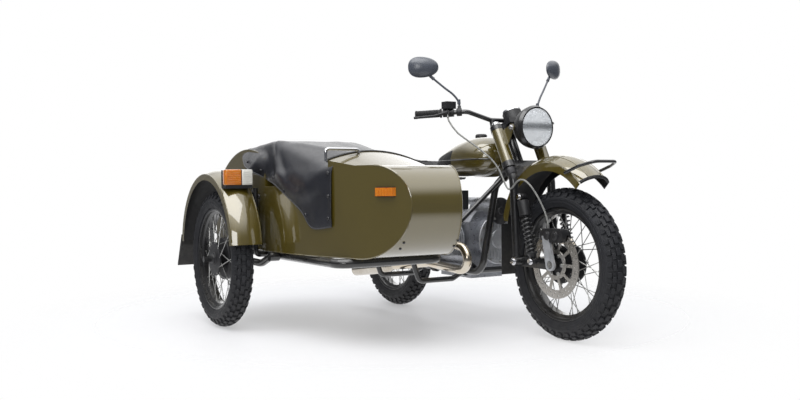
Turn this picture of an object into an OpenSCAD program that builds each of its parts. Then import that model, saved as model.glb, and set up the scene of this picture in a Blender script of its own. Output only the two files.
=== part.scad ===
// Sidecar motorcycle with a flat-twin engine, a leading-link fork and a sidecar on its right side.
// Working frame: the rear axle is at x = 0, the motorcycle's centre plane at y = 0, the ground at z = 0,
// with +X forward and the sidecar at -Y. At the end everything moves so that the origin is on the ground
// in the middle of the overall length and width.

/* [Main sizes] */
// Distance between the front and rear axles
wheelbase = 1470; // [1440:5:1500]
// Air between the right cylinder head's end and the sidecar's body
body_room = 27; // [22:1:40]
// How far the sidecar axle stands ahead of the rear axle
sidecar_lead = 200; // [180:5:220]

/* [Wheels] */
// Radius of a tyre, out to the tips of its tread blocks
tyre_r = 340; // [334:1:344]
// Width of a tyre
tyre_w = 108; // [100:1:112]
// Radius of the seat that the tyre's bead sits on
bead_r = 244; // [240:1:248]
// Overall width of a rim
rim_w = 80; // [74:1:84]
// Radius of the hub flanges that hold the spokes
hub_r = 85; // [78:1:90]
// Diameter of a spoke
spoke_d = 4; // [3:0.5:5]
// Number of spokes in a wheel
spoke_count = 40; // [32:4:40]
// Diameter of the wheel axles
axle_d = 20; // [18:1:24]
// Radius of the front brake disc
disc_r = 150; // [145:1:155]

/* [Steering] */
// Lean of the steering axis from the vertical, in degrees
rake = 27; // [25:0.5:29]
// Diameter of the fork legs
leg_d = 40; // [36:1:42]
// Distance of each fork leg from the centre plane
leg_y = 112; // [110:1:116]
// Diameter of the handlebar
bar_d = 22; // [20:1:25]
// Distance of each grip's outer end from the centre plane
grip_y = 400; // [385:5:415]
// Radius of the headlight's bucket
lamp_r = 100; // [90:1:104]

/* [Frame] */
// Diameter of the motorcycle frame's tubes
tube_d = 34; // [30:1:36]
// Diameter of the sidecar frame's tubes
rail_d = 42; // [38:1:44]
// Distance of the frame's cradle tubes from the centre plane
cradle_y = 125; // [120:1:128]
// Height of the cradle's lower tubes
cradle_z = 272; // [266:1:280]

/* [Engine] */
// Half width of the crankcase, where the cylinders begin
case_y = 150; // [144:1:152]
// Height of the cylinders' axis
cylinder_z = 430; // [425:1:440]
// Radius of the cylinder fins
fin_r = 84; // [78:1:86]
// Number of fins on a cylinder
fin_count = 9; // [7:1:10]

/* [Fenders] */
// Radius of the front fender's crown
front_fender_r = 343; // [340:1:347]
// Radius of the rear fender's crown
rear_fender_r = 395; // [392:1:398]
// Radius of the sidecar fender's crown
side_fender_r = 400; // [396:1:404]
// Half width of the front and rear fenders
fender_half_w = 84; // [82:1:86]
// Thickness of the fenders' sheet
sheet_t = 3; // [2:0.5:4]

/* [Sidecar body] */
// Outer side of the sidecar's body, as a distance inboard of the sidecar wheel
body_gap = 138; // [134:1:144]
// Width of the sidecar's body at the cockpit
body_w = 583; // [570:1:590]
// Height of the body's floor above the ground
body_floor = 387; // [387:1:395]
// Height of the nose's flat top
nose_top = 783; // [775:1:790]
// Foremost point of the nose, ahead of the rear axle
nose_x = 1404; // [1390:1:1415]
// Thickness of the body's walls
wall = 8; // [6:1:10]

/* [Hidden] */
$fn = 64;

// Clearances: between pieces that seat on each other, and between a stud and its eye
seat_gap = 0.3;
pin_gap = 0.3;
// A bend is this much fatter than its tube, and the straight tube ends this far inside it
bend_step = 0.15;
bend_sink = 2;

olive = "#6b6a3a";
black = "#1c1c1e";
steel = "#b9bcbf";
rubber = "#202022";

tube_r = tube_d / 2;
rail_r = rail_d / 2;
leg_r = leg_d / 2;
bar_r = bar_d / 2;
axle_r = axle_d / 2;

// Lengths along a cylinder
barrel_len = 130;
head_len = 118;

// Axle places. The track is what stands between the motorcycle's centre plane and the sidecar wheel.
track = case_y + barrel_len + head_len + body_room + body_w + body_gap;
front_x = wheelbase;
side_x = sidecar_lead;
side_y = -track;
axle_z = tyre_r;

// Steering axis: s runs down the axis from the head's middle, off is the distance ahead of the axis
head_x = front_x - 360;
head_z = axle_z + 510;
head_half = 80;
stem_r = 14;
clamp_gap = 3;
fork_off = 55;
function axis_pt(s, off = 0, y = 0) =
  [head_x + s * sin(rake) + off * cos(rake), y, head_z - s * cos(rake) + off * sin(rake)];

// Fork leg, link and shock places, on the right side
leg_bend = axis_pt(174, fork_off, -leg_y);
pivot = [front_x - 208, -leg_y, axle_z + 5];
shock_top = [front_x - 168, -leg_y - 2, axle_z + 300];
shock_foot = [front_x - 92, -leg_y - 2, axle_z + 12];
link_in = 74;
link_t = 14;
link_out = link_in + link_t;
leg_boss_r = 24;
pivot_r = 10;
stud_r = 7.7;
eye_r = 15;
eye_w = 22;

// Hub and disc places, as distances from the wheel's middle plane
flange_y = 36;
flange_t = 8;
hub_half = 45;
disc_in = 63;
disc_t = 5;
caliper_air = 5;

// Fender centres
front_fender_c = [front_x - 43, 0, axle_z + 144];
rear_fender_c = [-6, 0, axle_z + 14];
side_fender_c = [side_x - 30, side_y, axle_z + 45];
side_fender_half_w = 76;

// Headlight: the front plane of its bucket, and its height
lamp_x = front_x - 208;
lamp_z = axle_z + 621;

// Engine places
engine_x0 = 600;
engine_x1 = 942;
right_bore_x = 830;
left_bore_x = 870;
crossbar_x = [520, 900];
engine_floor = cradle_z + tube_r + seat_gap;

// Sidecar body places
body_out = side_y + body_gap;
body_in = body_out + body_w;
body_mid = (body_out + body_in) / 2;
out_taper_x = 550;
in_taper_x = 800;
nose_out_drop = 240;
nose_in_drop = 95;
tail_x = -320;
hump_c = [200, 288];
hump_r = 600;
rim_z = 700;
cockpit_x0 = 440;
cockpit_x1 = 1045;
nose_upper_r = 165;
crown_rise = 67;
cowl_x = cockpit_x1 - 45;
crown_len = nose_x - nose_upper_r - cowl_x;
lid_a0 = 101;
lid_a1 = 138;
lid_w = 420;
lid_t = 5;

// Sidecar frame places
outer_rail_y = body_out + 53;
outer_rail_z = body_floor - rail_r - seat_gap;
inner_rail_y = body_in - 10;
inner_rail_z = outer_rail_z;
rail_x0 = 130;
rail_x1 = 1120;
strut_x = 985;
post_y = body_out - 32;

// The overall box, which sets the origin
tail_end = 470;
mirror_turn = 25;
left_end = 469;
mirror_y = left_end - 74 * cos(mirror_turn);
front_end = front_x + tyre_r;
right_end = side_y - 95;
origin_shift = [-(front_end - tail_end) / 2, -(left_end + right_end) / 2, 0];

// Helpers

function unit(v) = v / norm(v);
function basis(o, z) =
  let (
    w = unit(z),
    h = abs(w[2]) < 0.9 ? [0, 0, 1] : [1, 0, 0],
    u = unit(cross(h, w)),
    v = cross(w, u)
  )
  [[u[0], v[0], w[0], o[0]], [u[1], v[1], w[1], o[1]], [u[2], v[2], w[2], o[2]], [0, 0, 0, 1]];
function columns(x, y, z, o) =
  [[x[0], y[0], z[0], o[0]], [x[1], y[1], z[1], o[1]], [x[2], y[2], z[2], o[2]], [0, 0, 0, 1]];
function turn(p, i) = acos(unit(p[i] - p[i - 1]) * unit(p[i + 1] - p[i]));
function cut_back(p, i, bend) = i == 0 || i == len(p) - 1 ? 0 : bend * tan(turn(p, i) / 2);
function flip(p) = [p[0], -p[1], p[2]];

// Children drawn along +Z are laid from a towards b
module along(a, b) {
  multmatrix(basis(a, b - a)) children();
}

module rod(a, b, r) {
  along(a, b) cylinder(h = norm(b - a), r = r);
}

// A tube through points, with round bends
module bent_tube(p, r, bend) {
  last = len(p) - 2;
  for (i = [0 : last]) {
    d = unit(p[i + 1] - p[i]);
    a = p[i] + d * (cut_back(p, i, bend) - (i == 0 ? 0 : bend_sink));
    b = p[i + 1] - d * (cut_back(p, i + 1, bend) - (i == last ? 0 : bend_sink));
    rod(a, b, r);
  }
  for (i = [1 : 1 : last]) {
    d = unit(p[i] - p[i - 1]);
    e = unit(p[i + 1] - p[i]);
    n = unit(e - (e * d) * d);
    start = p[i] - d * cut_back(p, i, bend);
    multmatrix(columns(-n, d, cross(-n, d), start + n * bend))
      rotate_extrude(angle = turn(p, i)) translate([bend, 0]) circle(r + bend_step);
  }
}

// A flat outline drawn in X and Z, as a plate from y0 to y1
module plate_xz(y0, y1) {
  translate([0, y1, 0]) rotate([90, 0, 0]) linear_extrude(y1 - y0) children();
}

// A bar with round ends between two points of the plane
module slot_2d(a, b, r1, r2) {
  translate(a) circle(r1);
  translate(b) circle(r2);
  d = unit(b - a);
  lean = (r1 - r2) / norm(b - a);
  n = [-d[1], d[0]] * sqrt(1 - lean * lean);
  polygon([a + (d * lean + n) * r1, a + (d * lean - n) * r1,
           b + (d * lean - n) * r2, b + (d * lean + n) * r2]);
}

module pin_y(p, y0, y1, r) {
  translate([p[0], y1, p[2]]) rotate([90, 0, 0]) cylinder(h = y1 - y0, r = r);
}

module both_sides() {
  children();
  mirror([0, 1, 0]) children();
}

// Children are placed on the steering axis at s, with Z up the axis and X ahead of it
module on_axis(s) {
  multmatrix(columns([cos(rake), 0, sin(rake)], [0, 1, 0], [-sin(rake), 0, cos(rake)], axis_pt(s)))
    children();
}

// A plain block between two corners
module block(low, high) {
  translate(low) cube(high - low);
}

// Fenders

// Cross-section of a fender: radius along X, width along Y. It is a crowned channel, open below.
module fender_section(crown, half_w, arch_r, depth, t) {
  module solid(inset, low) {
    intersection() {
      translate([crown - arch_r, 0]) circle(arch_r - inset);
      translate([crown - depth - low, -half_w + inset]) square([depth + low + 1, 2 * (half_w - inset)]);
    }
  }
  difference() {
    solid(0, 0);
    solid(t, 1);
  }
}

module fender(c, crown, half_w, arch_r, depth, a0, a1) {
  translate(c) rotate([90, 0, 0]) rotate([0, 0, a0]) rotate_extrude(angle = a1 - a0)
    fender_section(crown, half_w, arch_r, depth, sheet_t);
}

// The space that a fender's outside takes up, a little larger, for cutting what sits on it
module fender_space(c, crown, half_w, arch_r) {
  translate(c) rotate([90, 0, 0]) rotate_extrude() intersection() {
    translate([crown - arch_r, 0]) circle(arch_r + seat_gap);
    translate([crown - arch_r, -half_w - seat_gap]) square([2 * arch_r, 2 * (half_w + seat_gap)]);
  }
}

front_arch_r = 110;
front_depth = 72;
front_a0 = 44;
front_a1 = 172;
rear_arch_r = 120;
rear_depth = 80;
side_arch_r = 130;
side_depth = 52;

module front_fender() {
  color(olive) {
    fender(front_fender_c, front_fender_r, fender_half_w, front_arch_r, front_depth, front_a0, front_a1);
    // Stays from the fender's sides to the fork legs
    both_sides() fender_stay();
  }
}

// A strap on the fender's side with a foot that meets the fork leg
module fender_stay() {
  foot = [leg_bend[0], -leg_y, leg_bend[2] - 8];
  pin_y(foot, -leg_y + leg_r + seat_gap, -fender_half_w + sheet_t / 2, 12);
}

// Rubber flap that hangs from the inside of the front fender's rear end
module front_mud_flap() {
  half = fender_half_w - sheet_t - 2;
  tab = 40;
  t = 4;
  end = front_fender_c + front_fender_r * [cos(front_a1), 0, sin(front_a1)];
  inner = front_arch_r - sheet_t;
  // The tab's corners meet the inside of the crown
  top = end[2] + 14;
  rise = top - front_fender_c[2];
  crown = front_fender_r - front_arch_r + sqrt(inner * inner - tab * tab);
  x = front_fender_c[0] - sqrt(crown * crown - rise * rise) + seat_gap;
  color(rubber) {
    block([x, -half, 268], [x + t, half, end[2] - 22]);
    block([x, -tab, end[2] - 23], [x + t, tab, top]);
  }
}

module rear_fender() {
  color(olive) fender(rear_fender_c, rear_fender_r, fender_half_w, rear_arch_r, rear_depth, 28, 186);
}

module sidecar_fender() {
  color(olive) fender(side_fender_c, side_fender_r, side_fender_half_w, side_arch_r, side_depth, 6, 176);
}

// Wheels

module tyre() {
  color(rubber) rotate([90, 0, 0]) rotate_extrude() difference() {
    translate([tyre_r - tyre_w / 2, 0]) circle(tyre_w / 2);
    translate([0, -tyre_w]) square([bead_r + seat_gap, 2 * tyre_w]);
    for (s = [-1, 1]) translate([0, s * (rim_w / 2 - 5 - seat_gap)])
      translate([0, s > 0 ? 0 : -rim_w]) square([bead_r + 9 + seat_gap, rim_w]);
  }
}

module rim_section() {
  translate([bead_r - 5, -rim_w / 2]) square([5, rim_w]);
  for (s = [-1, 1]) translate([bead_r - 5, s > 0 ? rim_w / 2 - 5 : -rim_w / 2]) square([14, 5]);
  translate([bead_r - 22, -18]) square([20, 36]);
}

// Hub section: a barrel and two spoke flanges, with a drum on one side where the wheel has one
module hub_section(drum_r) {
  translate([axle_r + pin_gap, -hub_half]) square([26, 2 * hub_half]);
  for (s = [-1, 1])
    translate([axle_r + pin_gap, s * flange_y - flange_t / 2]) square([hub_r - axle_r, flange_t]);
  if (drum_r > 0) translate([axle_r + pin_gap, 0]) square([drum_r - axle_r, flange_y]);
}

// Spokes leave each flange by turns forward and backward, on the flange's two faces
module spokes() {
  n = spoke_count / 2;
  lean = 34;
  for (s = [-1, 1], k = [0 : n - 1]) {
    way = k % 2 == 0 ? 1 : -1;
    a = k * 360 / n + (s > 0 ? 0 : 180 / n);
    b = a + way * lean;
    r0 = hub_r - 6;
    r1 = bead_r - 14;
    rod([r0 * cos(a), s * (flange_y + 2.5 * way), r0 * sin(a)],
        [r1 * cos(b), s * (8 + 2 * way), r1 * sin(b)], spoke_d / 2);
  }
}

module wheel(drum_r) {
  color(black) union() {
    rotate([90, 0, 0]) rotate_extrude() rim_section();
    rotate([90, 0, 0]) rotate_extrude() hub_section(drum_r);
    spokes();
  }
}

front_c = [front_x, 0, axle_z];
rear_c = [0, 0, axle_z];
side_c = [side_x, side_y, axle_z];
drum_r = 104;

module front_tyre() { translate(front_c) tyre(); }
module rear_tyre() { translate(rear_c) tyre(); }
module sidecar_tyre() { translate(side_c) tyre(); }

module front_wheel() {
  translate(front_c) {
    wheel(0);
    // Boss that carries the brake disc on the right
    color(black) pin_ring(-disc_in + seat_gap, -flange_y, 58, axle_r + pin_gap);
  }
}

module pin_ring(y0, y1, r, hole) {
  difference() {
    pin_y([0, 0, 0], y0, y1, r);
    pin_y([0, 0, 0], y0 - 1, y1 + 1, hole);
  }
}

// The drum is on the final drive's side of the rear wheel, and on the inner side of the sidecar wheel
module rear_wheel() { translate(rear_c) wheel(drum_r); }
module sidecar_wheel() { translate(side_c) mirror([0, 1, 0]) wheel(drum_r); }

// Brake disc: a drilled ring on a ten-armed carrier
module front_disc() {
  ring_in = disc_r - 38;
  arms = 10;
  holes = 24;
  color(steel) translate(front_c) plate_xz(-disc_in - disc_t, -disc_in) {
    difference() {
      circle(disc_r);
      circle(ring_in);
      for (k = [0 : holes - 1], row = [0, 1])
        rotate((k + row / 2) * 360 / holes) translate([ring_in + 12 + 14 * row, 0]) circle(4);
    }
    difference() {
      circle(66);
      circle(48);
    }
    for (k = [0 : arms - 1]) rotate(k * 360 / arms) translate([60, -7]) square([ring_in - 56, 14]);
  }
}

// Steering

// Outline of a fork clamp: X is ahead of the steering axis
module clamp_2d(r) {
  circle(30);
  for (s = [-1, 1]) translate([fork_off, s * leg_y]) circle(r);
  polygon([[-18, -24], [fork_off - r * 0.7, -leg_y - r * 0.6], [fork_off + r * 0.7, -leg_y],
           [fork_off + r * 0.7, leg_y], [fork_off - r * 0.7, leg_y + r * 0.6], [-18, 24]]);
}

clamp_r = 32;
upper_clamp_t = 22;
lower_clamp_t = 28;
upper_clamp_s = -head_half - clamp_gap;
lower_clamp_s = head_half + 2 * clamp_gap;

module fork() {
  color(black) union() {
    rod(axis_pt(upper_clamp_s - upper_clamp_t + 2), axis_pt(lower_clamp_s + lower_clamp_t - 2), stem_r);
    on_axis(upper_clamp_s) linear_extrude(upper_clamp_t) clamp_2d(clamp_r);
    on_axis(lower_clamp_s + lower_clamp_t) linear_extrude(lower_clamp_t) clamp_2d(clamp_r);
    both_sides() fork_leg();
  }
}

module fork_leg() {
  difference() {
    union() {
      bent_tube([axis_pt(upper_clamp_s - upper_clamp_t - 6, fork_off, -leg_y), leg_bend,
                 pivot + [-1, 0, 4]], leg_r, 110);
      pin_y(pivot, -leg_y - 22, -link_out - seat_gap, leg_boss_r);
      // Bracket and stud for the top of the shock
      plate_xz(shock_top[1] + eye_w / 2 + seat_gap, shock_top[1] + eye_w / 2 + seat_gap + 8)
        slot_2d([front_x - 227, shock_top[2]], [shock_top[0], shock_top[2]], 16, 14);
      pin_y(shock_top, shock_top[1] - eye_w / 2 - 6, shock_top[1] + eye_w / 2 + 4, stud_r);
    }
    pin_y(pivot, -leg_y - 40, -link_out + 1, pivot_r + pin_gap);
  }
}

module fork_covers() {
  top = upper_clamp_s + seat_gap;
  low = lower_clamp_s - seat_gap;
  color(olive) both_sides() {
    difference() {
      rod(axis_pt(top, fork_off, -leg_y), axis_pt(low, fork_off, -leg_y), 30);
      rod(axis_pt(top - 5, fork_off, -leg_y), axis_pt(low + 5, fork_off, -leg_y), leg_r + seat_gap);
    }
    lamp_ear();
  }
}

ear_t = 5;
lamp_pivot = [lamp_x - 45, 0, lamp_z];

// Three-cornered plate from the fork cover to the headlight's pivot
module lamp_ear() {
  a = axis_pt(-70, fork_off + 24);
  b = axis_pt(10, fork_off + 24);
  y = -leg_y + 6;
  plate_xz(y, y + ear_t) {
    polygon([[a[0], a[2]], [b[0], b[2]], [lamp_pivot[0] + 8, lamp_pivot[2] - 16],
             [lamp_pivot[0], lamp_pivot[2] + 16]]);
    translate([lamp_pivot[0], lamp_pivot[2]]) circle(17);
  }
  pin_y(lamp_pivot, y, ear_reach, 9);
}

// Where the front edge of the ear's boss meets the round bucket, 36 mm behind its front plane
ear_reach = -sqrt(lamp_r * lamp_r - 36 * 36) - seat_gap;

module leading_links() {
  color(black) both_sides() {
    difference() {
      plate_xz(-link_out, -link_in)
        slot_2d([pivot[0], pivot[2]], [front_x, axle_z], 25, 24);
      pin_y(front_c, -link_out - 1, -link_in + 1, axle_r + pin_gap);
    }
    pin_y(pivot, -leg_y - 30, -link_out + 2, pivot_r);
    pin_y(shock_foot, shock_foot[1] - eye_w / 2 - 6, -link_out + 2, stud_r);
  }
}

// A spring leg from eye a to eye b, both turned to face Y. Its coils are rings on the damper.
module spring_leg(a, b, coil_r, cap_share) {
  l = norm(b - a);
  rings = 8;
  z0 = l * cap_share;
  z1 = l * 0.86;
  difference() {
    union() {
      along(a, b) {
        cylinder(h = l, r = 8);
        translate([0, 0, 18]) cylinder(h = z0 - 18, r = coil_r);
        translate([0, 0, z0 - 1]) cylinder(h = z1 - z0 + 2, r = coil_r - 8);
        translate([0, 0, z1]) cylinder(h = l - z1 - 18, r = coil_r - 1);
        for (k = [0 : rings - 1]) translate([0, 0, z0 + 8 + k * (z1 - z0 - 16) / (rings - 1)])
          rotate_extrude() translate([coil_r - 6, 0]) circle(5);
      }
      for (p = [a, b]) pin_y(p, p[1] - eye_w / 2, p[1] + eye_w / 2, eye_r);
    }
    for (p = [a, b]) pin_y(p, p[1] - eye_w, p[1] + eye_w, stud_r + pin_gap);
  }
}

module front_shocks() {
  color(black) both_sides() spring_leg(shock_top, shock_foot, 26, 0.3);
}

module front_axle() {
  color(steel) {
    pin_y(front_c, -link_out - 4, link_out + 4, axle_r);
    for (s = [-1, 1]) {
      y0 = link_out + seat_gap;
      translate([front_x, s > 0 ? y0 : -y0, axle_z]) rotate([s * -90, 0, 0])
        cylinder(h = 11, r = 15, $fn = 6);
    }
    // Threaded end on the left, past its nut
    pin_y(front_c, link_out, link_out + 36, 8);
    // Spacers between the hub and the links
    pin_y(front_c, hub_half + caliper_air, link_in - seat_gap, 17);
    pin_y(front_c, -link_in + seat_gap, -disc_in - caliper_air, 17);
  }
}

// Caliper over the top of the disc, on an arm that stands on the axle
module front_caliper() {
  c = [front_x + 8, axle_z + disc_r - 16];
  y_out = -disc_in - disc_t - 30;
  y_in = -disc_in + 14;
  color("#4a4c50") difference() {
    union() {
      plate_xz(y_out, y_in) slot_2d(c + [-44, -4], c + [44, -4], 30, 30);
      plate_xz(-link_out - 12, -link_out - seat_gap)
        slot_2d([front_x, axle_z], c + [-40, -4], 27, 20);
    }
    translate([front_x, 0, axle_z])
      pin_y([0, 0, 0], -disc_in - disc_t - caliper_air, -disc_in + caliper_air, disc_r + caliper_air);
    pin_y(front_c, -200, 0, 17);
  }
}

module fender_hoop() {
  y = fender_half_w + 7 + seat_gap;
  a = [front_x + 92, -y, axle_z + 404];
  b = [front_x + 180, -y, axle_z + 432];
  c = [front_x + 245, -62, axle_z + 450];
  color(black) bent_tube([a, b, c, flip(c), flip(b), flip(a)], 7, 34);
}

module headlight_bucket() {
  shell = 4;
  color(olive) translate([lamp_x, 0, lamp_z]) rotate([0, 90, 0]) difference() {
    rotate_extrude() intersection() {
      circle(lamp_r);
      translate([0, -lamp_r]) square([lamp_r, lamp_r]);
    }
    sphere(lamp_r - shell);
  }
}

rim_depth = 16;
module headlight_rim() {
  color(black) translate([lamp_x + seat_gap, 0, lamp_z]) rotate([0, 90, 0]) difference() {
    union() {
      cylinder(h = rim_depth, r1 = lamp_r + 2, r2 = lamp_r - 6);
    }
    translate([0, 0, -1]) cylinder(h = rim_depth + 2, r = lamp_r - 12);
  }
}

module headlight_reflector() {
  color(steel) translate([lamp_x, 0, lamp_z]) rotate([0, 90, 0]) {
    rotate_extrude() difference() {
      intersection() {
        circle(lamp_r - 13);
        translate([0, -lamp_r]) square([lamp_r, lamp_r + 10]);
      }
      translate([0, 14]) circle(lamp_r - 17);
    }
    // Bulb on the reflector's axis
    translate([0, 0, -lamp_r + 14]) cylinder(h = 50, r = 9);
  }
}

module headlight_lens() {
  dome = 260;
  r = lamp_r - 12 - seat_gap;
  color("#dfe8ea") translate([lamp_x + 10 + seat_gap, 0, lamp_z]) rotate([0, 90, 0])
    rotate_extrude() intersection() {
    square([r, 30]);
    translate([0, 20 - dome]) circle(dome, $fn = 256);
  }
}

// Instrument pod on a sloping console behind the headlight
module instrument() {
  color(black) {
    on_axis(upper_clamp_s - upper_clamp_t - seat_gap) {
      translate([-26, -64, 0]) cube([132, 128, 26]);
      translate([66, 0, 20]) cylinder(h = 62, r = 46);
    }
  }
}

bar_low = [front_x - 438, 0, axle_z + 668];
bar_knee = [front_x - 438, -86, axle_z + 668];
bar_elbow = [front_x - 455, -212, axle_z + 706];
bar_end = [front_x - 618, -grip_y, axle_z + 695];

module handlebar() {
  color(black) union() {
    bent_tube([bar_end, bar_elbow, bar_knee, flip(bar_knee), flip(bar_elbow), flip(bar_end)], bar_r, 50);
    // Risers on the upper clamp
    foot = upper_clamp_s - upper_clamp_t - seat_gap;
    for (s = [-1, 1]) rod(axis_pt(foot, -12, s * 78), [bar_low[0], s * 78, bar_low[2]], 13);
  }
}

grip_l = 128;
grip_r = 17;
bar_way = unit(bar_elbow - bar_end);

module grips() {
  color(rubber) both_sides() along(bar_end - bar_way * 4, bar_elbow) difference() {
    union() {
      cylinder(h = grip_l, r = grip_r);
      cylinder(h = 6, r = grip_r + 3);
      translate([0, 0, grip_l - 8]) cylinder(h = 8, r = grip_r + 4);
    }
    translate([0, 0, 4]) cylinder(h = grip_l, r = bar_r + seat_gap);
  }
}

// A lever perch on the bar, just inside the grip, with its blade ahead of the grip
module lever_perch() {
  p = bar_end + bar_way * (grip_l + 6);
  q = bar_end + bar_way * (grip_l + 58);
  difference() {
    rod(p, q, bar_r + 9);
    rod(p - bar_way * 5, q + bar_way * 5, bar_r + seat_gap);
  }
  ahead = unit(cross([0, 0, 1], bar_way));
  root = (p + q) / 2 - ahead * 42;
  rod((p + q) / 2 - ahead * (bar_r + 4), root, 11);
  bent_tube([root, root - bar_way * 60 + [0, 0, -14], bar_end - ahead * 50 + [0, 0, -18]], 6, 40);
}

module brake_control() {
  color(black) {
    lever_perch();
    tank = bar_end + bar_way * (grip_l + 28) + [10, 0, bar_r + 24];
    translate(tank) cube([44, 54, 34], center = true);
  }
}

module clutch_control() {
  color(black) mirror([0, 1, 0]) lever_perch();
}

// Side, and how much higher that side's mirror is set
mirror_table = [[-1, 0], [1, 36]];

module mirrors() {
  color(black) for (row = mirror_table) mirror([0, row[0] > 0 ? 1 : 0, 0]) one_mirror(row[1]);
}

module one_mirror(lift) {
  root = bar_end + bar_way * (grip_l + 84);
  face = [front_x - 540, -mirror_y, axle_z + 916 + lift];
  knee = root + [0, -4, 60];
  union() {
    difference() {
      rod(root - bar_way * 12, root + bar_way * 12, bar_r + 8);
      rod(root - bar_way * 20, root + bar_way * 20, bar_r + seat_gap);
    }
    bent_tube([root + [0, 0, bar_r + 4], knee, face + [4, 30, -38]], 5.5, 30);
    // Oval shell, deepest at its middle, turned in towards the rider
    translate(face) rotate([0, 0, -mirror_turn]) hull() {
      for (s = [-1, 1], h = [-1, 1]) translate([0, s * 36, h * 12]) rotate([0, -90, 0])
        cylinder(h = 8, r = 38, $fn = 32);
      translate([26, 0, 0]) rotate([0, -90, 0]) cylinder(h = 4, r = 26, $fn = 24);
    }
  }
}

// A round cord swept through points as one closed skin
module swept(p, r, sides) {
  n = len(p);
  rings = [for (i = [0 : n - 1])
    let (
      d = unit(p[min(i + 1, n - 1)] - p[max(i - 1, 0)]),
      h = abs(d[1]) < 0.9 ? [0, 1, 0] : [1, 0, 0],
      u = unit(cross(h, d)),
      v = cross(d, u)
    )
    for (k = [0 : sides - 1]) p[i] + r * (cos(k * 360 / sides) * u + sin(k * 360 / sides) * v)];
  quads = [for (i = [0 : n - 2], k = [0 : sides - 1])
    let (a = i * sides, k2 = (k + 1) % sides)
    each [[a + k, a + k2, a + sides + k2], [a + k, a + sides + k2, a + sides + k]]];
  last = (n - 1) * sides;
  caps = [for (k = [1 : sides - 2]) each [[0, k + 1, k], [last, last + k, last + k + 1]]];
  polyhedron(rings, [for (f = concat(quads, caps)) [f[0], f[2], f[1]]]);
}

// Brake hose from under the lever perch, down beside the fork leg and over to the top of the caliper
perch_mid = bar_end + bar_way * (grip_l + 32);
perch_ahead = unit(cross([0, 0, 1], bar_way));
hose_start = perch_mid - perch_ahead * 30 + [0, 0, -11 - seat_gap];
hose_end = [front_x - 24, -86, axle_z + disc_r + 10 + seat_gap];
hose = concat([hose_start, hose_start + [6, 2, -30]],
  [for (p = [[-445, -272, 600], [-385, -225, 545], [-318, -178, 480], [-276, -158, 420],
             [-248, -152, 365], [-222, -150, 335], [-190, -150, 345], [-155, -150, 372], [-115, -146, 376],
             [-78, -134, 345], [-50, -114, 290], [-34, -96, 235]])
    [front_x + p[0], p[1], axle_z + p[2]]],
  [hose_end + [-2, 0, 30], hose_end]);

module brake_hose() {
  color("#8c8c86") swept(hose, 4, 8);
}

// Motorcycle frame

head_r = 26;
down_top = axis_pt(58, -20, -16);
down_knee = [head_x - 62, -70, head_z - 160];
down_foot = [head_x - 105, -cradle_y, cradle_z];
cradle_end = [430, -cradle_y, cradle_z];
post_foot = [335, -cradle_y, cradle_z + 70];
post_top = [300, -cradle_y, 750];
spine_knee = [720, 0, 806];
spine_end = [500, 0, 730];
seat_rail_z = 741;
seat_rail_r = tube_r - 3;
seat_rail_y = cradle_y - 8;
seat_rail_x0 = -150;
seat_rail_x1 = 520;
// The rear crossbar rests just above the fender's crown
rear_bar_reach = rear_fender_r + seat_rail_r + seat_gap;
rear_bar_x = rear_fender_c[0] - sqrt(pow(rear_bar_reach, 2) - pow(seat_rail_z - rear_fender_c[2], 2));

module frame() {
  color(black) difference() {
    union() {
      rod(axis_pt(-head_half), axis_pt(head_half), head_r);
      bent_tube([axis_pt(-10, -14), spine_knee, spine_end], tube_r + 2, 160);
      both_sides() {
        bent_tube([down_top, down_knee, down_foot, cradle_end, post_foot, post_top], tube_r, 70);
        rod([seat_rail_x0, -seat_rail_y, seat_rail_z], [seat_rail_x1, -seat_rail_y, seat_rail_z],
            seat_rail_r);
        // Studs for the swing arm's pivot and the top of the shock
        pin_y(arm_pivot, -cradle_y, -arm_boss_in, pivot_r);
        pin_y(rear_shock_top, rear_shock_top[1] - eye_w / 2 - 6, -seat_rail_y, stud_r);
      }
      for (x = crossbar_x) rod([x, -cradle_y, cradle_z], [x, cradle_y, cradle_z], tube_r - 1);
      rod([spine_end[0], -seat_rail_y, seat_rail_z - 4], [spine_end[0], seat_rail_y, seat_rail_z - 4],
          seat_rail_r - 2);
      rod([rear_bar_x, -seat_rail_y, seat_rail_z], [rear_bar_x, seat_rail_y, seat_rail_z], seat_rail_r);
    }
    rod(axis_pt(-head_half - 5), axis_pt(head_half + 5), stem_r + pin_gap);
  }
}

arm_pivot = [334, -cradle_y, axle_z + 10];
arm_boss_in = 90;
rear_shock_top = [56, -150, seat_rail_z];
rear_shock_foot = [40, -150, axle_z + 10];
arm_y = 112;

module swingarm() {
  r = 17;
  boss_out = cradle_y - tube_r - 1;
  color(black) both_sides() difference() {
    union() {
      pin_y(arm_pivot, -boss_out, -arm_boss_in, 22);
      plate_xz(-boss_out, -arm_boss_in)
        slot_2d([arm_pivot[0], arm_pivot[2]], [arm_pivot[0] - 50, axle_z + 6], 22, 15);
      bent_tube([[arm_pivot[0] - 34, -boss_out + 2, axle_z + 7], [240, -arm_y, axle_z + 4],
                 [-30, -arm_y, axle_z]], r, 120);
      pin_y(rear_shock_foot, rear_shock_foot[1] - eye_w / 2 - 6, -arm_y, stud_r);
    }
    pin_y(arm_pivot, -boss_out - 1, -arm_boss_in + 1, pivot_r + pin_gap);
    pin_y(rear_c, -300, 300, axle_r + pin_gap);
    pin_y(rear_c, -arm_y + 6, 0, 60);
  }
}

module rear_axle() {
  color(steel) {
    pin_y(rear_c, -arm_y - 38, arm_y + 38, axle_r);
    for (s = [-1, 1]) translate([0, s * (arm_y + 19 + seat_gap), axle_z]) rotate([s * -90, 0, 0])
      cylinder(h = 14, r = 16, $fn = 6);
  }
}

shaft_y = 73;

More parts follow.
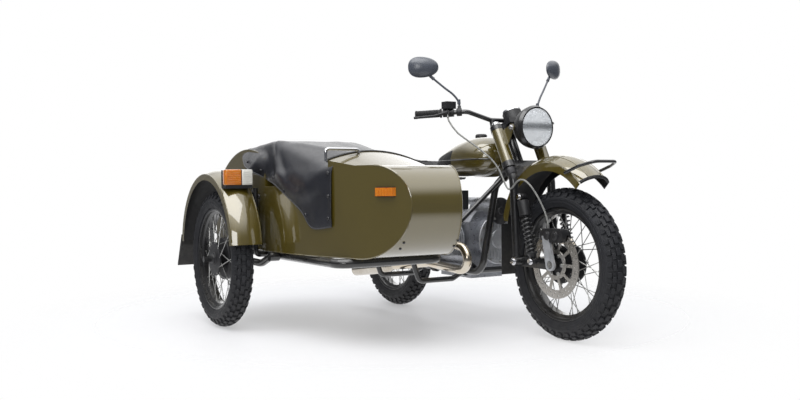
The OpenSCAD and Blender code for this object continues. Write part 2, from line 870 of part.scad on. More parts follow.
// Bevel housing on the right of the rear wheel, with the drive shaft that reaches it from the gearbox
module final_drive() {
  y0 = -arm_y + 6 + seat_gap;
  y1 = -flange_y - flange_t - 6;
  color(steel) difference() {
    union() {
      pin_y(rear_c, y0, y1, 58);
      rod([40, -shaft_y, axle_z + 10], [gearbox_x0 - seat_gap, -shaft_y, axle_z + 10], 13);
    }
    pin_y(rear_c, -300, 300, axle_r + pin_gap);
  }
}

module rear_shocks() {
  color(black) both_sides() spring_leg(rear_shock_top, rear_shock_foot, 26, 0.34);
}

// Engine

gearbox_x0 = 455;

module engine_block() {
  color("#8f9296") union() {
    // Crankcase, a barrel along X with flat flanks where the cylinders seat
    intersection() {
      translate([engine_x0, 0, cylinder_z]) rotate([0, 90, 0]) cylinder(h = engine_x1 - engine_x0, r = 172);
      block([engine_x0, -case_y, engine_floor], [engine_x1, case_y, cylinder_z + 138]);
    }
    // Timing cover and generator
    translate([engine_x1 - 2, 0, cylinder_z]) rotate([0, 90, 0]) cylinder(h = 42, r = 124);
    translate([engine_x1 - 120, 0, cylinder_z + 138]) rotate([0, 90, 0]) cylinder(h = 172, r = 66);
    // Finned sump between the frame's crossbars
    block([crossbar_x[0] + 90, -96, 232], [crossbar_x[1] - 24, 96, engine_floor + 1]);
  }
}

module gearbox() {
  color("#85888c") union() {
    intersection() {
      translate([gearbox_x0, 0, 420]) rotate([0, 90, 0])
        cylinder(h = engine_x0 - seat_gap - gearbox_x0, r = 128);
      block([gearbox_x0, -104, engine_floor], [engine_x0 - seat_gap, 104, 560]);
    }
  }
}

// One finned barrel with its axis along +Y from the crankcase
module barrel(x) {
  pitch = (barrel_len - 14) / fin_count;
  translate([x, case_y, cylinder_z]) rotate([-90, 0, 0]) {
    cylinder(h = barrel_len - seat_gap, r = 58);
    for (k = [0 : fin_count - 1]) translate([0, 0, 12 + k * pitch]) cylinder(h = 5, r = fin_r);
  }
}

module cylinder_barrels() {
  color("#9a9da0") {
    barrel(left_bore_x);
    mirror([0, 1, 0]) barrel(right_bore_x);
  }
}

// Cylinder head: a finned block, with a round-cornered rocker cover and the exhaust and inlet stubs
module cylinder_head(x) {
  fins = 5;
  cover_l = 52;
  base_l = head_len - cover_l;
  translate([x, case_y + barrel_len, cylinder_z]) rotate([-90, 0, 0]) {
    linear_extrude(base_l) square([130, 120], center = true);
    for (k = [0 : fins - 1]) translate([0, 0, 6 + k * 12]) linear_extrude(5) head_fin_2d(82, 74);
    translate([0, 0, base_l - 1]) linear_extrude(cover_l - 16) head_fin_2d(78, 66);
    translate([0, 0, base_l - 1]) linear_extrude(cover_l) head_fin_2d(66, 54);
  }
  translate([x, case_y + barrel_len + 30, cylinder_z]) {
    rotate([0, 90, 0]) cylinder(h = port_reach, r = 24);
    rotate([0, -90, 0]) cylinder(h = port_reach, r = 22);
  }
}

port_reach = 92;

// A rectangle with big round corners, half sizes a and b
module head_fin_2d(a, b) {
  r = 26;
  square([2 * a, 2 * (b - r)], center = true);
  square([2 * (a - r), 2 * b], center = true);
  for (s = [-1, 1], t = [-1, 1]) translate([s * (a - r), t * (b - r)]) circle(r);
}

module cylinder_heads() {
  color("#b4b6b8") {
    cylinder_head(left_bore_x);
    mirror([0, 1, 0]) cylinder_head(right_bore_x);
  }
}

// A carburettor behind each head, with its intake pipe to the air filter
module carburettor(x) {
  y = case_y + barrel_len + 30;
  x0 = x - port_reach - seat_gap;
  translate([x0, y, cylinder_z]) rotate([0, -90, 0]) cylinder(h = 84, r = 26);
  translate([x0 - 42, y, cylinder_z - 52]) cylinder(h = 104, r = 28);
  pipe_x = filter_x0 + 62;
  bent_tube([[x0 - 80, y, cylinder_z], [pipe_x, y, cylinder_z], [pipe_x, y - 110, filter_z],
             [pipe_x, filter_y + seat_gap, filter_z]], 20, 44);
}

filter_x0 = 468;
filter_x1 = 596;
filter_y = 92;
filter_z = 610;

module carburettors() {
  color("#77797c") {
    carburettor(left_bore_x);
    mirror([0, 1, 0]) carburettor(right_bore_x);
  }
}

module air_filter() {
  color(black) block([filter_x0, -filter_y, 548 + seat_gap], [filter_x1, filter_y, 668]);
}

// Exhaust: a header from each head's front port, under the crankcase's side to its muffler
header_r = 20;
muffler_r = 34;
muffler_front = [430, 0, 270];
muffler_rear = [-30, 0, 214];

module exhaust_pipe(x, y_port, y_muffler) {
  port = [x + port_reach + seat_gap, y_port, cylinder_z];
  a = [muffler_front[0], y_muffler, muffler_front[2]];
  d = unit(muffler_front - muffler_rear);
  bent_tube([port, port + [40, 0, 0], port + [190, 0, -22], port + [270, 0, -110], port + [160, 0, -128],
             a + d * 330, a + d * seat_gap], header_r, 48);
}

port_y = case_y + barrel_len + 30;
muffler_y = 268;

module exhaust_pipes() {
  color("#d8d2c4") {
    exhaust_pipe(left_bore_x, port_y, muffler_y);
    exhaust_pipe(right_bore_x, -port_y, -muffler_y);
  }
}

module muffler(y) {
  a = [muffler_front[0], y, muffler_front[2]];
  b = [muffler_rear[0], y, muffler_rear[2]];
  l = norm(b - a);
  along(a, b) rotate_extrude()
    polygon([[0, 0], [16, 0], [16, 20], [muffler_r, 80], [muffler_r, l - 26], [muffler_r - 8, l - 12],
             [16, l - 12], [16, l], [13, l], [13, l - 60], [0, l - 60]]);
}

module mufflers() {
  color("#c9c4b8") {
    muffler(muffler_y);
    muffler(-muffler_y);
  }
}

// Tank, seat and rear end

// Half outline of the tank seen from above, as widths at stations along X
tank_x0 = 520;
tank_x1 = 1052;

module fuel_tank() {
  color(olive) difference() {
    hull() {
      // x, half width, bottom, top of the tank's sections
      for (s = [[tank_x0, 70, 770, 812], [tank_x0 + 120, 128, 742, 880], [tank_x0 + 300, 150, 735, 930],
                [tank_x1 - 92, 142, 742, 928], [tank_x1, 78, 790, 880]])
        tank_section(s[0], s[1], s[2], s[3]);
    }
    // Tunnel for the frame's spine
    far = axis_pt(-10, -14);
    half = tube_r + 2 + seat_gap;
    top = half + 5;
    plate_xz(-half, half)
      polygon([[far[0], 700], [far[0], far[2] + top], [spine_knee[0], spine_knee[2] + top],
               [spine_end[0], spine_end[2] + top], [440, 700]]);
  }
  color(steel) translate([tank_x0 + 320, 0, 900]) cylinder(h = 54, r = 30);
}

// A rounded section across the tank
module tank_section(x, half_w, z0, z1) {
  r = min(42, (z1 - z0) / 2 - 1);
  for (s = [-1, 1]) {
    translate([x, s * (half_w - r), z0 + r]) rotate([0, 90, 0]) cylinder(h = 2, r = r, $fn = 28);
    translate([x, s * (half_w - r - 22), z1 - r]) rotate([0, 90, 0]) cylinder(h = 2, r = r, $fn = 28);
  }
}

seat_z = seat_rail_z + seat_rail_r + seat_gap;

module bench_seat() {
  color(black) hull() {
    // x, half width and top of the seat's sections
    for (s = [[tank_x0 - 24, 92, 828], [tank_x0 - 90, 118, 836], [220, 134, 838],
              [20, 136, 862], [-160, 122, 866]])
      for (t = [-1, 1]) translate([s[0], t * (s[1] - 16), 0]) {
        translate([0, 0, s[2] - 16]) sphere(16, $fn = 20);
        translate([0, 0, seat_z]) cylinder(h = 4, r = 14, $fn = 20);
      }
  }
}

module tail_lamp() {
  z = rear_fender_c[2] + 236;
  color("#a01c18") difference() {
    block([-tail_end, -52, z - 40], [-tail_end + 150, 52, z + 36]);
    fender_space(rear_fender_c, rear_fender_r, fender_half_w, rear_arch_r);
  }
}

plate_z = 440;
plate_spacing = 150;
module plate_bracket() {
  color(black) difference() {
    union() {
      block([-tail_end + 6, -100, plate_z - 40], [-tail_end + 10, 100, plate_z + 60]);
      block([-tail_end + 9, -30, plate_z - 10], [-tail_end + 110, 30, plate_z + 10]);
    }
    for (s = [-1, 1]) translate([-tail_end, s * plate_spacing / 2, plate_z + 20]) rotate([0, 90, 0])
      cylinder(h = 40, r = 3.5, center = true);
    fender_space(rear_fender_c, rear_fender_r, fender_half_w, rear_arch_r);
  }
}

// Each peg hangs on a collar round the cradle's tube
module footpegs() {
  x = 600;
  color(black) both_sides() difference() {
    union() {
      rod([x - 15, -cradle_y, cradle_z], [x + 15, -cradle_y, cradle_z], tube_r + 8);
      rod([x, -cradle_y - 16, cradle_z + 8], [x, -cradle_y - 62, 340], 10);
      pin_y([x, 0, 342], -cradle_y - 165, -cradle_y - 50, 16);
    }
    rod([x - 30, -cradle_y, cradle_z], [x + 30, -cradle_y, cradle_z], tube_r + seat_gap);
  }
}

// Sidecar

// Plan of the body, grown outwards by grow: straight sides that bend in to a narrow nose, and a round tail
module body_plan(grow = 0) {
  big = 3000;
  out_run = nose_x - out_taper_x;
  in_run = nose_x - in_taper_x;
  out_r = (out_run * out_run + nose_out_drop * nose_out_drop) / (2 * nose_out_drop);
  in_r = (in_run * in_run + nose_in_drop * nose_in_drop) / (2 * nose_in_drop);
  tail_r = 830;
  intersection() {
    union() {
      translate([tail_x - 100, body_out - grow]) square([out_taper_x - tail_x + 100, big]);
      translate([out_taper_x, body_out + out_r]) circle(out_r + grow, $fn = 360);
    }
    union() {
      translate([tail_x - 100, body_in + grow - big]) square([in_taper_x - tail_x + 100, big]);
      translate([in_taper_x, body_in - in_r]) circle(in_r + grow, $fn = 360);
    }
    union() {
      translate([0, body_mid - big / 2]) square([nose_x + 40, big]);
      translate([tail_x + tail_r, body_mid]) circle(tail_r + grow, $fn = 256);
    }
    translate([tail_x - 100, body_mid - big / 2]) square([nose_x + 40 - tail_x + 100, big]);
  }
}

nose_z = nose_top - nose_upper_r;
nose_lower_r = nose_z - body_floor;

// Side view of the body, taken in by inset: a round nose, a low cockpit rim and a round hump at the rear
module body_side(inset = 0) {
  floor = body_floor + inset;
  top = nose_top - inset;
  translate([nose_x - nose_upper_r, nose_z]) circle(nose_upper_r - inset);
  intersection() {
    translate([nose_x - nose_lower_r, body_floor + nose_lower_r]) circle(nose_lower_r - inset);
    translate([nose_x - nose_lower_r, body_floor]) square([nose_lower_r, nose_lower_r]);
  }
  polygon([[0, floor], [nose_x - nose_lower_r, floor], [nose_x - nose_lower_r, body_floor + nose_lower_r],
           [nose_x - nose_upper_r, nose_z], [nose_x - nose_upper_r, top],
           [cockpit_x1 - 15 + inset, top], [cockpit_x1 - 60 + inset, rim_z - inset],
           [cockpit_x0 - inset, rim_z - inset], [0, rim_z - inset]]);
  intersection() {
    translate(hump_c) circle(hump_r - inset, $fn = 256);
    translate([tail_x - 200, floor]) square([cockpit_x0 - inset - tail_x + 200, hump_r]);
  }
}

// The cowl's crown: part of a big round bar that leans down towards the nose
crown_r = (body_w * body_w / 4 + crown_rise * crown_rise) / (2 * crown_rise);

module crown_bar(inset) {
  slope = crown_rise / crown_len;
  z = nose_top + crown_rise - crown_r / cos(atan(slope));
  reach = crown_r / 2;
  rod([cowl_x - reach, body_mid, z + reach * slope], [cowl_x + reach, body_mid, z - reach * slope],
      crown_r - inset, $fn = 256);
}

module crown(inset = 0) {
  intersection() {
    crown_bar(inset);
    translate([cowl_x - inset, body_out - 50, rim_z + 20])
      cube([crown_len + 40 + inset, body_w + 100, 200]);
  }
}

module body_form(inset = 0) {
  plate_xz(body_out - 100, body_in + 100) body_side(inset);
  crown(inset);
}

module sidecar_body() {
  color(olive) hinge_lugs();
  color(olive) difference() {
    intersection() {
      translate([0, 0, body_floor - 50]) linear_extrude(700) body_plan();
      body_form();
    }
    intersection() {
      translate([0, 0, body_floor - 50]) linear_extrude(700) body_plan(-wall);
      union() {
        body_form(wall);
        block([cockpit_x0 + wall, body_out, body_floor + wall], [cockpit_x1 - 45, body_in, 1000]);
      }
    }
    lid_cut();
  }
}

// The opening under the trunk's lid
module lid_cut() {
  margin = 20;
  translate([hump_c[0], body_mid, hump_c[1]]) rotate([90, 0, 0]) rotate([0, 0, lid_a0 + 3])
    rotate_extrude(angle = lid_a1 - lid_a0 - 5)
      translate([hump_r - 3 * wall, -lid_w / 2 + margin]) square([6 * wall, lid_w - 2 * margin]);
}

hinge_r = 6;
hinge_a = lid_a0;
hinge_at = [hump_c[0] + (hump_r + hinge_r + 1) * cos(hinge_a), body_mid,
            hump_c[1] + (hump_r + hinge_r + 1) * sin(hinge_a)];

hinge_pin_r = 3;
hinge_half = lid_w / 2 - 40;

module trunk_lid() {
  color(olive) difference() {
    union() {
      translate([hump_c[0], body_mid, hump_c[1]]) rotate([90, 0, 0]) rotate([0, 0, lid_a0])
        rotate_extrude(angle = lid_a1 - lid_a0)
          translate([hump_r + seat_gap, -lid_w / 2]) square([lid_t, lid_w]);
      // Hinge barrel along the lid's front edge
      pin_y(hinge_at, body_mid - hinge_half, body_mid + hinge_half, hinge_r);
    }
    pin_y(hinge_at, body_mid - lid_w, body_mid + lid_w, hinge_pin_r + pin_gap);
    // The lid is cut away beside the barrel, where the body's lugs stand
    for (s = [-1, 1]) translate([hinge_at[0], body_mid + s * (hinge_half + 21), hinge_at[2]])
      cube([44, 42, 44], center = true);
  }
}

// Lugs on the body at the barrel's ends, each with a pin into the barrel
module hinge_lugs() {
  foot = [hump_c[0] + (hump_r - 4) * cos(hinge_a), 0, hump_c[1] + (hump_r - 4) * sin(hinge_a)];
  for (s = [-1, 1]) translate([0, body_mid + s * (hinge_half + 10), 0]) {
    pin_y(hinge_at, -9, 9, hinge_r);
    rod(foot, [hinge_at[0], 0, hinge_at[2]], 5);
    translate([0, -s * 15, 0]) pin_y(hinge_at, -16, 16, hinge_pin_r);
  }
}

// Soft cover over the cockpit: a skin from the cowl to the hump, with a flap on the outer side
cover_t = 5;
cover_rear_x = 165;
ridge = [450, 920];

module cover_hull(drop) {
  y0 = body_out + 6 + drop;
  y1 = body_in - 6 - drop;
  hull() {
    translate([cover_rear_x + drop, y0 + 12, hump_c[1] + hump_r + 1.5 - drop]) cube([6, y1 - y0 - 24, 2]);
    translate([ridge[0] - 20, y0 + 30, ridge[1] - 6 - drop]) cube([40, y1 - y0 - 120, 4]);
    translate([cockpit_x0 + 10, y0, rim_z + 2 - 2 * drop])
      cube([cockpit_x1 - cockpit_x0 - 170, y1 - y0, 4]);
    for (k = [-2 : 2])
      translate([cockpit_x1 - 58 - drop, body_mid + k * (112 - drop),
                 nose_top + crown_rise - 16 - 14 * k * k - drop])
      cube([6, 4, 4], center = true);
  }
}

module sidecar_cover() {
  color("#2b2b2f") {
    difference() {
      cover_hull(0);
      cover_hull(cover_t);
      // Room for the body's hump
      plate_xz(body_out - 20, body_in + 20) intersection() {
        translate(hump_c) circle(hump_r + 1, $fn = 256);
        translate([0, rim_z - 40]) square([cockpit_x0 + 2, 400]);
      }
    }
    cover_flap();
  }
}

flap_low = 480;
// The flap lies against the body's outer side, just clear of it
module cover_flap() {
  intersection() {
    translate([0, 0, flap_low - 40]) linear_extrude(400) difference() {
      body_plan(1 + cover_t);
      body_plan(1);
    }
    plate_xz(body_out - 40, body_mid - 60)
      polygon([[cockpit_x1 - 12, flap_low - 6], [cockpit_x1 - 24, rim_z + 70],
               [cockpit_x0 + 60, rim_z + 60], [cockpit_x0 + 20, rim_z],
               [560, 600], [660, flap_low + 26], [800, flap_low]]);
  }
}

// Chrome rail across the cockpit's front, on two feet that stand on the cowl
rail_top = 858;
module grab_rail() {
  x = cowl_x + 14;
  top_z = nose_top + crown_rise - 14 * crown_rise / crown_len;
  // Each foot ends on the uphill edge of the crown under it
  function foot(y) = [x, y, top_z - crown_r + sqrt(pow(crown_r, 2) - pow(abs(y - body_mid) - 8, 2)) + 1.2];
  a = foot(body_out + 46);
  b = foot(body_mid - 84);
  color(steel) bent_tube([a, [x, a[1], rail_top], [x, b[1], rail_top], b], 7, 15);
}

// Black edging along the cowl's rear edge
module cowl_trim() {
  edge = 12;
  color(black) intersection() {
    difference() {
      crown_bar(-4);
      crown_bar(wall);
    }
    translate([0, 0, rim_z + 40]) linear_extrude(300) body_plan();
    translate([cowl_x - edge, body_out - 50, rim_z + 40]) cube([edge - seat_gap, body_w + 100, 300]);
  }
}

// Orange marker on the outer side of the nose
module marker_lamp() {
  x = nose_x - 138;
  color("#e0801c") intersection() {
    translate([x, body_out - 60, 653]) cube([74, 300, 35]);
    translate([0, 0, 640]) linear_extrude(60) difference() {
      body_plan(seat_gap + 16);
      body_plan(seat_gap);
    }
  }
}

module sidecar_frame() {
  orail = [[rail_x0, outer_rail_y, outer_rail_z], [rail_x1, outer_rail_y, outer_rail_z]];
  irail = [[rail_x0, inner_rail_y, inner_rail_z], [rail_x1, inner_rail_y, inner_rail_z]];
  color(black) union() {
    bent_tube([irail[0] + [200, 0, 0], irail[0], orail[0], orail[1], irail[1], irail[1] - [400, 0, 0]],
              rail_r, 60);
    rod(irail[0] + [100, 0, 0], irail[1] - [100, 0, 0], rail_r - 0.5);
    rod([620, outer_rail_y, outer_rail_z], [620, inner_rail_y, inner_rail_z], rail_r - 3);
    // Lower arms with collars that grip the motorcycle's cradle
    for (x = [480, 850]) cradle_arm(x);
    // Upper struts, collared to the frame's downtube and rear post
    strut([strut_x, inner_rail_y + 10, inner_rail_z], down_knee, down_top, 70);
    strut([300, inner_rail_y + 10, inner_rail_z], post_foot, post_top, 250);
    // Post that carries the wheel's spring leg and the fender
    bent_tube([[post_x, outer_rail_y, outer_rail_z], [post_x, post_y, outer_rail_z],
               [post_x, post_y, axle_z + 352]], 13, 24);
    pin_y([post_x, 0, fender_lug_z], side_y + side_fender_half_w + seat_gap, post_y, 9);
    plate_xz(post_y + eye_w / 2 + seat_gap, post_y + eye_w / 2 + seat_gap + 8)
      slot_2d([post_x, side_shock_top[2]], [side_shock_top[0], side_shock_top[2]], 13, 13);
    pin_y(side_shock_top, post_y - eye_w / 2 - 4, post_y + eye_w / 2 + 4, stud_r);
    // Pivot for the wheel's arm
    pin_y(side_pivot, side_pivot[1] - 24, outer_rail_y, 12);
  }
}

post_x = side_x + 190;
side_pivot = [side_x + 330, body_out + 2, outer_rail_z - 2];
side_shock_top = [side_x + 130, post_y, axle_z + 310];
side_shock_foot = [side_x + 84, post_y, axle_z + 40];
// Height at which the fender's inner side passes the post
fender_lug_z = side_fender_c[2] + sqrt(pow(side_fender_r - 38, 2) - pow(post_x - side_fender_c[0], 2));

// A collar on the tube from a to b, at the distance along from a, with what joins it
module collared(a, b, distance) {
  d = unit(b - a);
  p = a + d * distance;
  difference() {
    union() {
      children();
      rod(p - d * 20, p + d * 20, tube_r + 9);
    }
    rod(p - d * 60, p + d * 60, tube_r + seat_gap);
  }
}

// Lower arm: it dips under the exhaust on its way to the cradle's tube
module cradle_arm(x) {
  dip = cradle_z - 38;
  collared([x - 100, -cradle_y, cradle_z], [x + 100, -cradle_y, cradle_z], 100)
    bent_tube([[x, inner_rail_y, inner_rail_z], [x, inner_rail_y + 50, dip], [x, -cradle_y - 66, dip],
               [x, -cradle_y - 6, cradle_z - 8]], 13, 30);
}

module strut(foot, a, b, distance) {
  collared(a, b, distance) rod(foot, a + unit(b - a) * distance, 11);
}

module sidecar_arm() {
  arm_in = side_y + hub_half + 30;
  plate_y = side_y + hub_half + 5;
  lug_y = post_y - eye_w / 2 - seat_gap;
  color(black) union() {
    difference() {
      union() {
        pin_y(side_pivot, side_pivot[1] - 22, outer_rail_y - rail_r - 5, 22);
        bent_tube([side_pivot + [-16, -4, 0], [side_x + 220, body_out - 14, axle_z - 16],
                   [side_x + 60, arm_in, axle_z - 2],
                   [side_x - 20, arm_in, axle_z]], 18, 90);
      }
      pin_y(side_pivot, side_pivot[1] - 40, outer_rail_y, 12 + pin_gap);
    }
    // Stub axle through the hub, and the brake's backing plate
    pin_y(side_c, side_y - hub_half - 34, arm_in, axle_r);
    pin_y(side_c, plate_y, plate_y + 6, drum_r - 2);
    // Lug and stud for the foot of the spring leg
    plate_xz(lug_y - 12, lug_y)
      slot_2d([side_shock_foot[0], axle_z + 6], [side_shock_foot[0], side_shock_foot[2]], 14, 13);
    pin_y(side_shock_foot, lug_y - 2, post_y + eye_w / 2 + 4, stud_r);
  }
  color(steel) pin_y(side_c, right_end, side_y - hub_half - seat_gap, 15);
}

module sidecar_shock() {
  color(black) spring_leg(side_shock_top, side_shock_foot, 22, 0.34);
}

// Lamp on the front of the sidecar's fender: amber outside, clear inside
module fender_lamp() {
  x = side_fender_c[0] + 262;
  z = side_fender_c[2] + 357;
  color("#e8801c") difference() {
    block([x - 40, side_y - 66, z - 52], [x + 22, side_y + 66, z + 36]);
    fender_space(side_fender_c, side_fender_r, side_fender_half_w, side_arch_r);
  }
}

module mud_flap() {
  top = side_fender_c + [-side_fender_r + 14, 0, 0];
  color(rubber) hull() {
    block(top + [-16, -side_fender_half_w + 4, 4], top + [-13, side_fender_half_w - 4, 60]);
    block(top + [-70, -side_fender_half_w - 2, -110], top + [-67, side_fender_half_w + 2, -100]);
  }
}

module placed() {
  translate(origin_shift) children();
}

placed() frame();
placed() engine_block();
placed() gearbox();
placed() cylinder_barrels();
placed() cylinder_heads();
placed() carburettors();
placed() air_filter();
placed() exhaust_pipes();
placed() mufflers();
placed() fuel_tank();
placed() bench_seat();
placed() rear_fender();
placed() tail_lamp();
placed() plate_bracket();
placed() swingarm();
placed() final_drive();
placed() rear_axle();
placed() rear_shocks();
placed() footpegs();
placed() fork();
placed() fork_covers();
placed() leading_links();
placed() front_shocks();
placed() front_axle();
placed() front_caliper();
placed() front_fender();
placed() fender_hoop();
placed() front_mud_flap();
placed() headlight_bucket();
placed() headlight_rim();
placed() headlight_reflector();
placed() headlight_lens();
placed() instrument();
placed() handlebar();
placed() grips();
placed() brake_control();
placed() clutch_control();
placed() mirrors();
placed() brake_hose();
placed() front_tyre();
placed() front_wheel();
placed() front_disc();
placed() rear_tyre();
placed() rear_wheel();
placed() sidecar_tyre();
placed() sidecar_wheel();
placed() sidecar_frame();
placed() sidecar_arm();
placed() sidecar_shock();
placed() sidecar_body();
placed() sidecar_cover();
placed() trunk_lid();
placed() grab_rail();
placed() sidecar_fender();
placed() fender_lamp();
placed() mud_flap();
placed() marker_lamp();
placed() cowl_trim();
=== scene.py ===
# %% [markdown]
# # A sidecar motorcycle, dressed for its portrait
# The solids of this machine come from CAD and are loaded as a fixed frame: every tube, wheel and
# bracket already stands in its place, in metres, with the ground at Z = 0 and +X as the way ahead.
# This lesson gives the solids their paint, rubber and metal, and models what CAD left plain:
# tread blocks, coil springs, the upholstered bench, the vinyl cover and the small hardware.

# %% Load the frame
import math

import bpy
from mathutils import Matrix, Vector
from mathutils.bvhtree import BVHTree


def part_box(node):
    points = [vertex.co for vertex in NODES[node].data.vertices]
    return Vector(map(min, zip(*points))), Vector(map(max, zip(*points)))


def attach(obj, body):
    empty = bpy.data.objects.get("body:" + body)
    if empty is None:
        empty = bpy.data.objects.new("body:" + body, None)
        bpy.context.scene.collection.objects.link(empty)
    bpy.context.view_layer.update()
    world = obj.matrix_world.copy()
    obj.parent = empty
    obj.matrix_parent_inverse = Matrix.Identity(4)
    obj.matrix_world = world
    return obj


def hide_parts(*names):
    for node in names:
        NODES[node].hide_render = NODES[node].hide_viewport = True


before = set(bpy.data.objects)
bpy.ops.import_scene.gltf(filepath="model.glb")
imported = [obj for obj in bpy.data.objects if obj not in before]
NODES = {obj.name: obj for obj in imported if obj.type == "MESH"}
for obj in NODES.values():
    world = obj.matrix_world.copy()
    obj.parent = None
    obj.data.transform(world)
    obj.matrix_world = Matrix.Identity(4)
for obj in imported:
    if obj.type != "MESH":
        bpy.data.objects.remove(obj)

scene = bpy.context.scene
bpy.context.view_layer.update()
# The ground under the rear axle, in the frame's millimetres
GROUND_X, GROUND_Y = -670, 386


def at(x, y, z):
    """A place on the machine, in millimetres from the ground under the rear axle, as a frame point."""
    return Vector(((x + GROUND_X) / 1000, (y + GROUND_Y) / 1000, z / 1000))


# %% [markdown]
# ## Camera
# The photograph was fitted from the wheels' ellipses and the ground line, so the camera's place,
# aim, small roll and focal length are written down here as they came out of that fit.
# The camera looks along its own -Z, so its axes are built from the viewing direction.

# %% Camera
CAMERA_PLACE = (3.7373, -2.2514, 0.6918)
YAW, PITCH, ROLL = (math.radians(a) for a in (148.883, -0.883, -0.558))
SENSOR_WIDTH, FOCAL_LENGTH = 36, 39.22
aim = Vector((math.cos(PITCH) * math.cos(YAW), math.cos(PITCH) * math.sin(YAW), math.sin(PITCH)))
level_right = aim.cross(Vector((0, 0, 1))).normalized()
level_up = level_right.cross(aim)
right = level_right * math.cos(ROLL) + level_up * math.sin(ROLL)
up = level_up * math.cos(ROLL) - level_right * math.sin(ROLL)
bpy.ops.object.camera_add()
camera = bpy.context.object
axes = Matrix((right, up, -aim)).transposed().to_4x4()
camera.matrix_world = Matrix.Translation(CAMERA_PLACE) @ axes
camera.data.sensor_width = SENSOR_WIDTH
camera.data.lens = FOCAL_LENGTH
scene.camera = camera
scene.view_settings.view_transform = "Standard"
print("camera at", [round(c, 2) for c in camera.location])

# %% [markdown]
# ## Wiring shader nodes
# A material is a small network: each node's inputs are either set to a value or fed by another
# node's output. Two helpers do both, so the cells below read as sentences about the surface.

# %% Helpers that wire nodes
def empty_tree(owner):
    """The node tree of a material or world, with nothing in it."""
    owner.use_nodes = True
    owner.node_tree.nodes.clear()
    return owner.node_tree


def feed(tree, socket, value):
    """Joins an output to a socket, or sets the socket's own value."""
    if hasattr(value, "is_linked"):
        tree.links.new(value, socket)
    else:
        socket.default_value = value


def add_node(tree, kind, *inputs, **settings):
    """A new shader node, its sockets fed in their order; None leaves a socket as it is."""
    node = tree.nodes.new("ShaderNode" + kind)
    for label, value in settings.items():
        setattr(node, label, value)
    for socket, value in zip(node.inputs, inputs):
        if value is not None:
            feed(tree, socket, value)
    return node


def arithmetic(tree, operation, *numbers):
    return add_node(tree, "Math", *numbers, operation=operation).outputs[0]


def smoothstep(tree, value, low, high):
    return add_node(tree, "MapRange", value, low, high, interpolation_type="SMOOTHSTEP").outputs[0]


def mix_shaders(tree, share, first, second):
    return add_node(tree, "MixShader", share, first.outputs[0], second.outputs[0])


# %% [markdown]
# ## Studio floor
# A pale floor catches the machine's shadow and fades into a white horizon. Shiny parts see more of
# it before it fades, as the photographer's paper runs on in front of the camera, and they see it
# bright. The camera sees it a little lifted, so that the shadow stays soft.

# %% Floor
bpy.ops.object.select_all(action="DESELECT")
bpy.ops.mesh.primitive_plane_add(size=60, location=(-0.5, 0.25, -0.0005))
floor = bpy.context.object
floor.name = "studio_floor"
FADE_SEEN, FADE_MIRRORED, CAMERA_LIFT = (0.7, 2.2), (1.8, 3.2), 0.3
floor_paint = bpy.data.materials.new("studio_floor_paint")
floor.data.materials.append(floor_paint)
tree = empty_tree(floor_paint)
matt = add_node(tree, "BsdfPrincipled")
matt.inputs["Base Color"].default_value = (0.82, 0.82, 0.84, 1)
matt.inputs["Roughness"].default_value = 0.5
matt.inputs["Specular IOR Level"].default_value = 0.2
rays = add_node(tree, "LightPath").outputs
place = add_node(tree, "TexCoord").outputs["Object"]
spread = add_node(tree, "VectorMath", place, operation="LENGTH").outputs["Value"]
to_camera, to_shine = (smoothstep(tree, spread, *reach) for reach in (FADE_SEEN, FADE_MIRRORED))
fade = add_node(tree, "Mix", rays["Is Glossy Ray"], None, to_camera, to_shine)
lift = arithmetic(tree, "MULTIPLY_ADD", rays["Is Camera Ray"], CAMERA_LIFT, rays["Is Glossy Ray"])
lit_floor = mix_shaders(tree, lift, matt, add_node(tree, "Emission", (1, 1, 1.01, 1)))
faded = mix_shaders(tree, fade.outputs[0], lit_floor, add_node(tree, "BsdfTransparent"))
add_node(tree, "OutputMaterial", faded.outputs[0])
print("floor laid", round(floor.dimensions.x), "m wide")

# %% [markdown]
# ## World and lamps
# The world is a photographer's cove. The camera sees plain white. Shiny parts see the white
# backdrop behind the machine and the light overhead, but the room beside and behind the camera
# is dim, and that is what puts shape into gloss paint and chrome. The light that falls on the
# machine is a plain level: a soft fill, a broad lamp above and a weaker one from the camera's side.

# %% World and lamps
scene.world = bpy.data.worlds.new("studio_world")
tree = empty_tree(scene.world)
white, fill, cove, room = (add_node(tree, "Background", (*colour, 1), strength) for colour, strength in (
    ((1, 1, 1), 1.0), ((0.95, 0.97, 1.0), 0.7), ((1, 1, 1), 1.6), ((0.9, 0.93, 1.0), 0.13)))
way = add_node(tree, "TexCoord").outputs["Generated"]
ahead = add_node(tree, "VectorMath", way, (aim.x, aim.y, 0), operation="DOT_PRODUCT").outputs["Value"]
height = add_node(tree, "SeparateXYZ", way).outputs["Z"]
lit = arithmetic(tree, "MAXIMUM", smoothstep(tree, ahead, 0.62, 0.9), smoothstep(tree, height, 0.3, 0.75))
rays = add_node(tree, "LightPath").outputs
shiny = arithmetic(tree, "MAXIMUM", rays["Is Glossy Ray"], rays["Is Transmission Ray"])
unseen = mix_shaders(tree, shiny, fill, mix_shaders(tree, lit, room, cove))
backdrop = mix_shaders(tree, rays["Is Camera Ray"], unseen, white)
add_node(tree, "OutputWorld", backdrop.outputs[0])


def lamp(name, place, target, size, power):
    bpy.ops.object.light_add(type="AREA", location=place)
    made = bpy.context.object
    made.name = name
    made.data.shape = "RECTANGLE"
    made.data.size, made.data.size_y = size
    made.data.energy = power
    made.rotation_mode = "QUATERNION"
    made.rotation_quaternion = (Vector(target) - Vector(place)).to_track_quat("-Z", "Y")


lamp("key_lamp", (1.2, -1.6, 4.6), (0, -0.1, 0.5), (4.4, 3.8), 165)
lamp("side_lamp", (5.0, -4.5, 2.4), (0, 0, 0.6), (2.4, 2.0), 70)
print("studio is lit by", [light.name for light in bpy.data.lights])

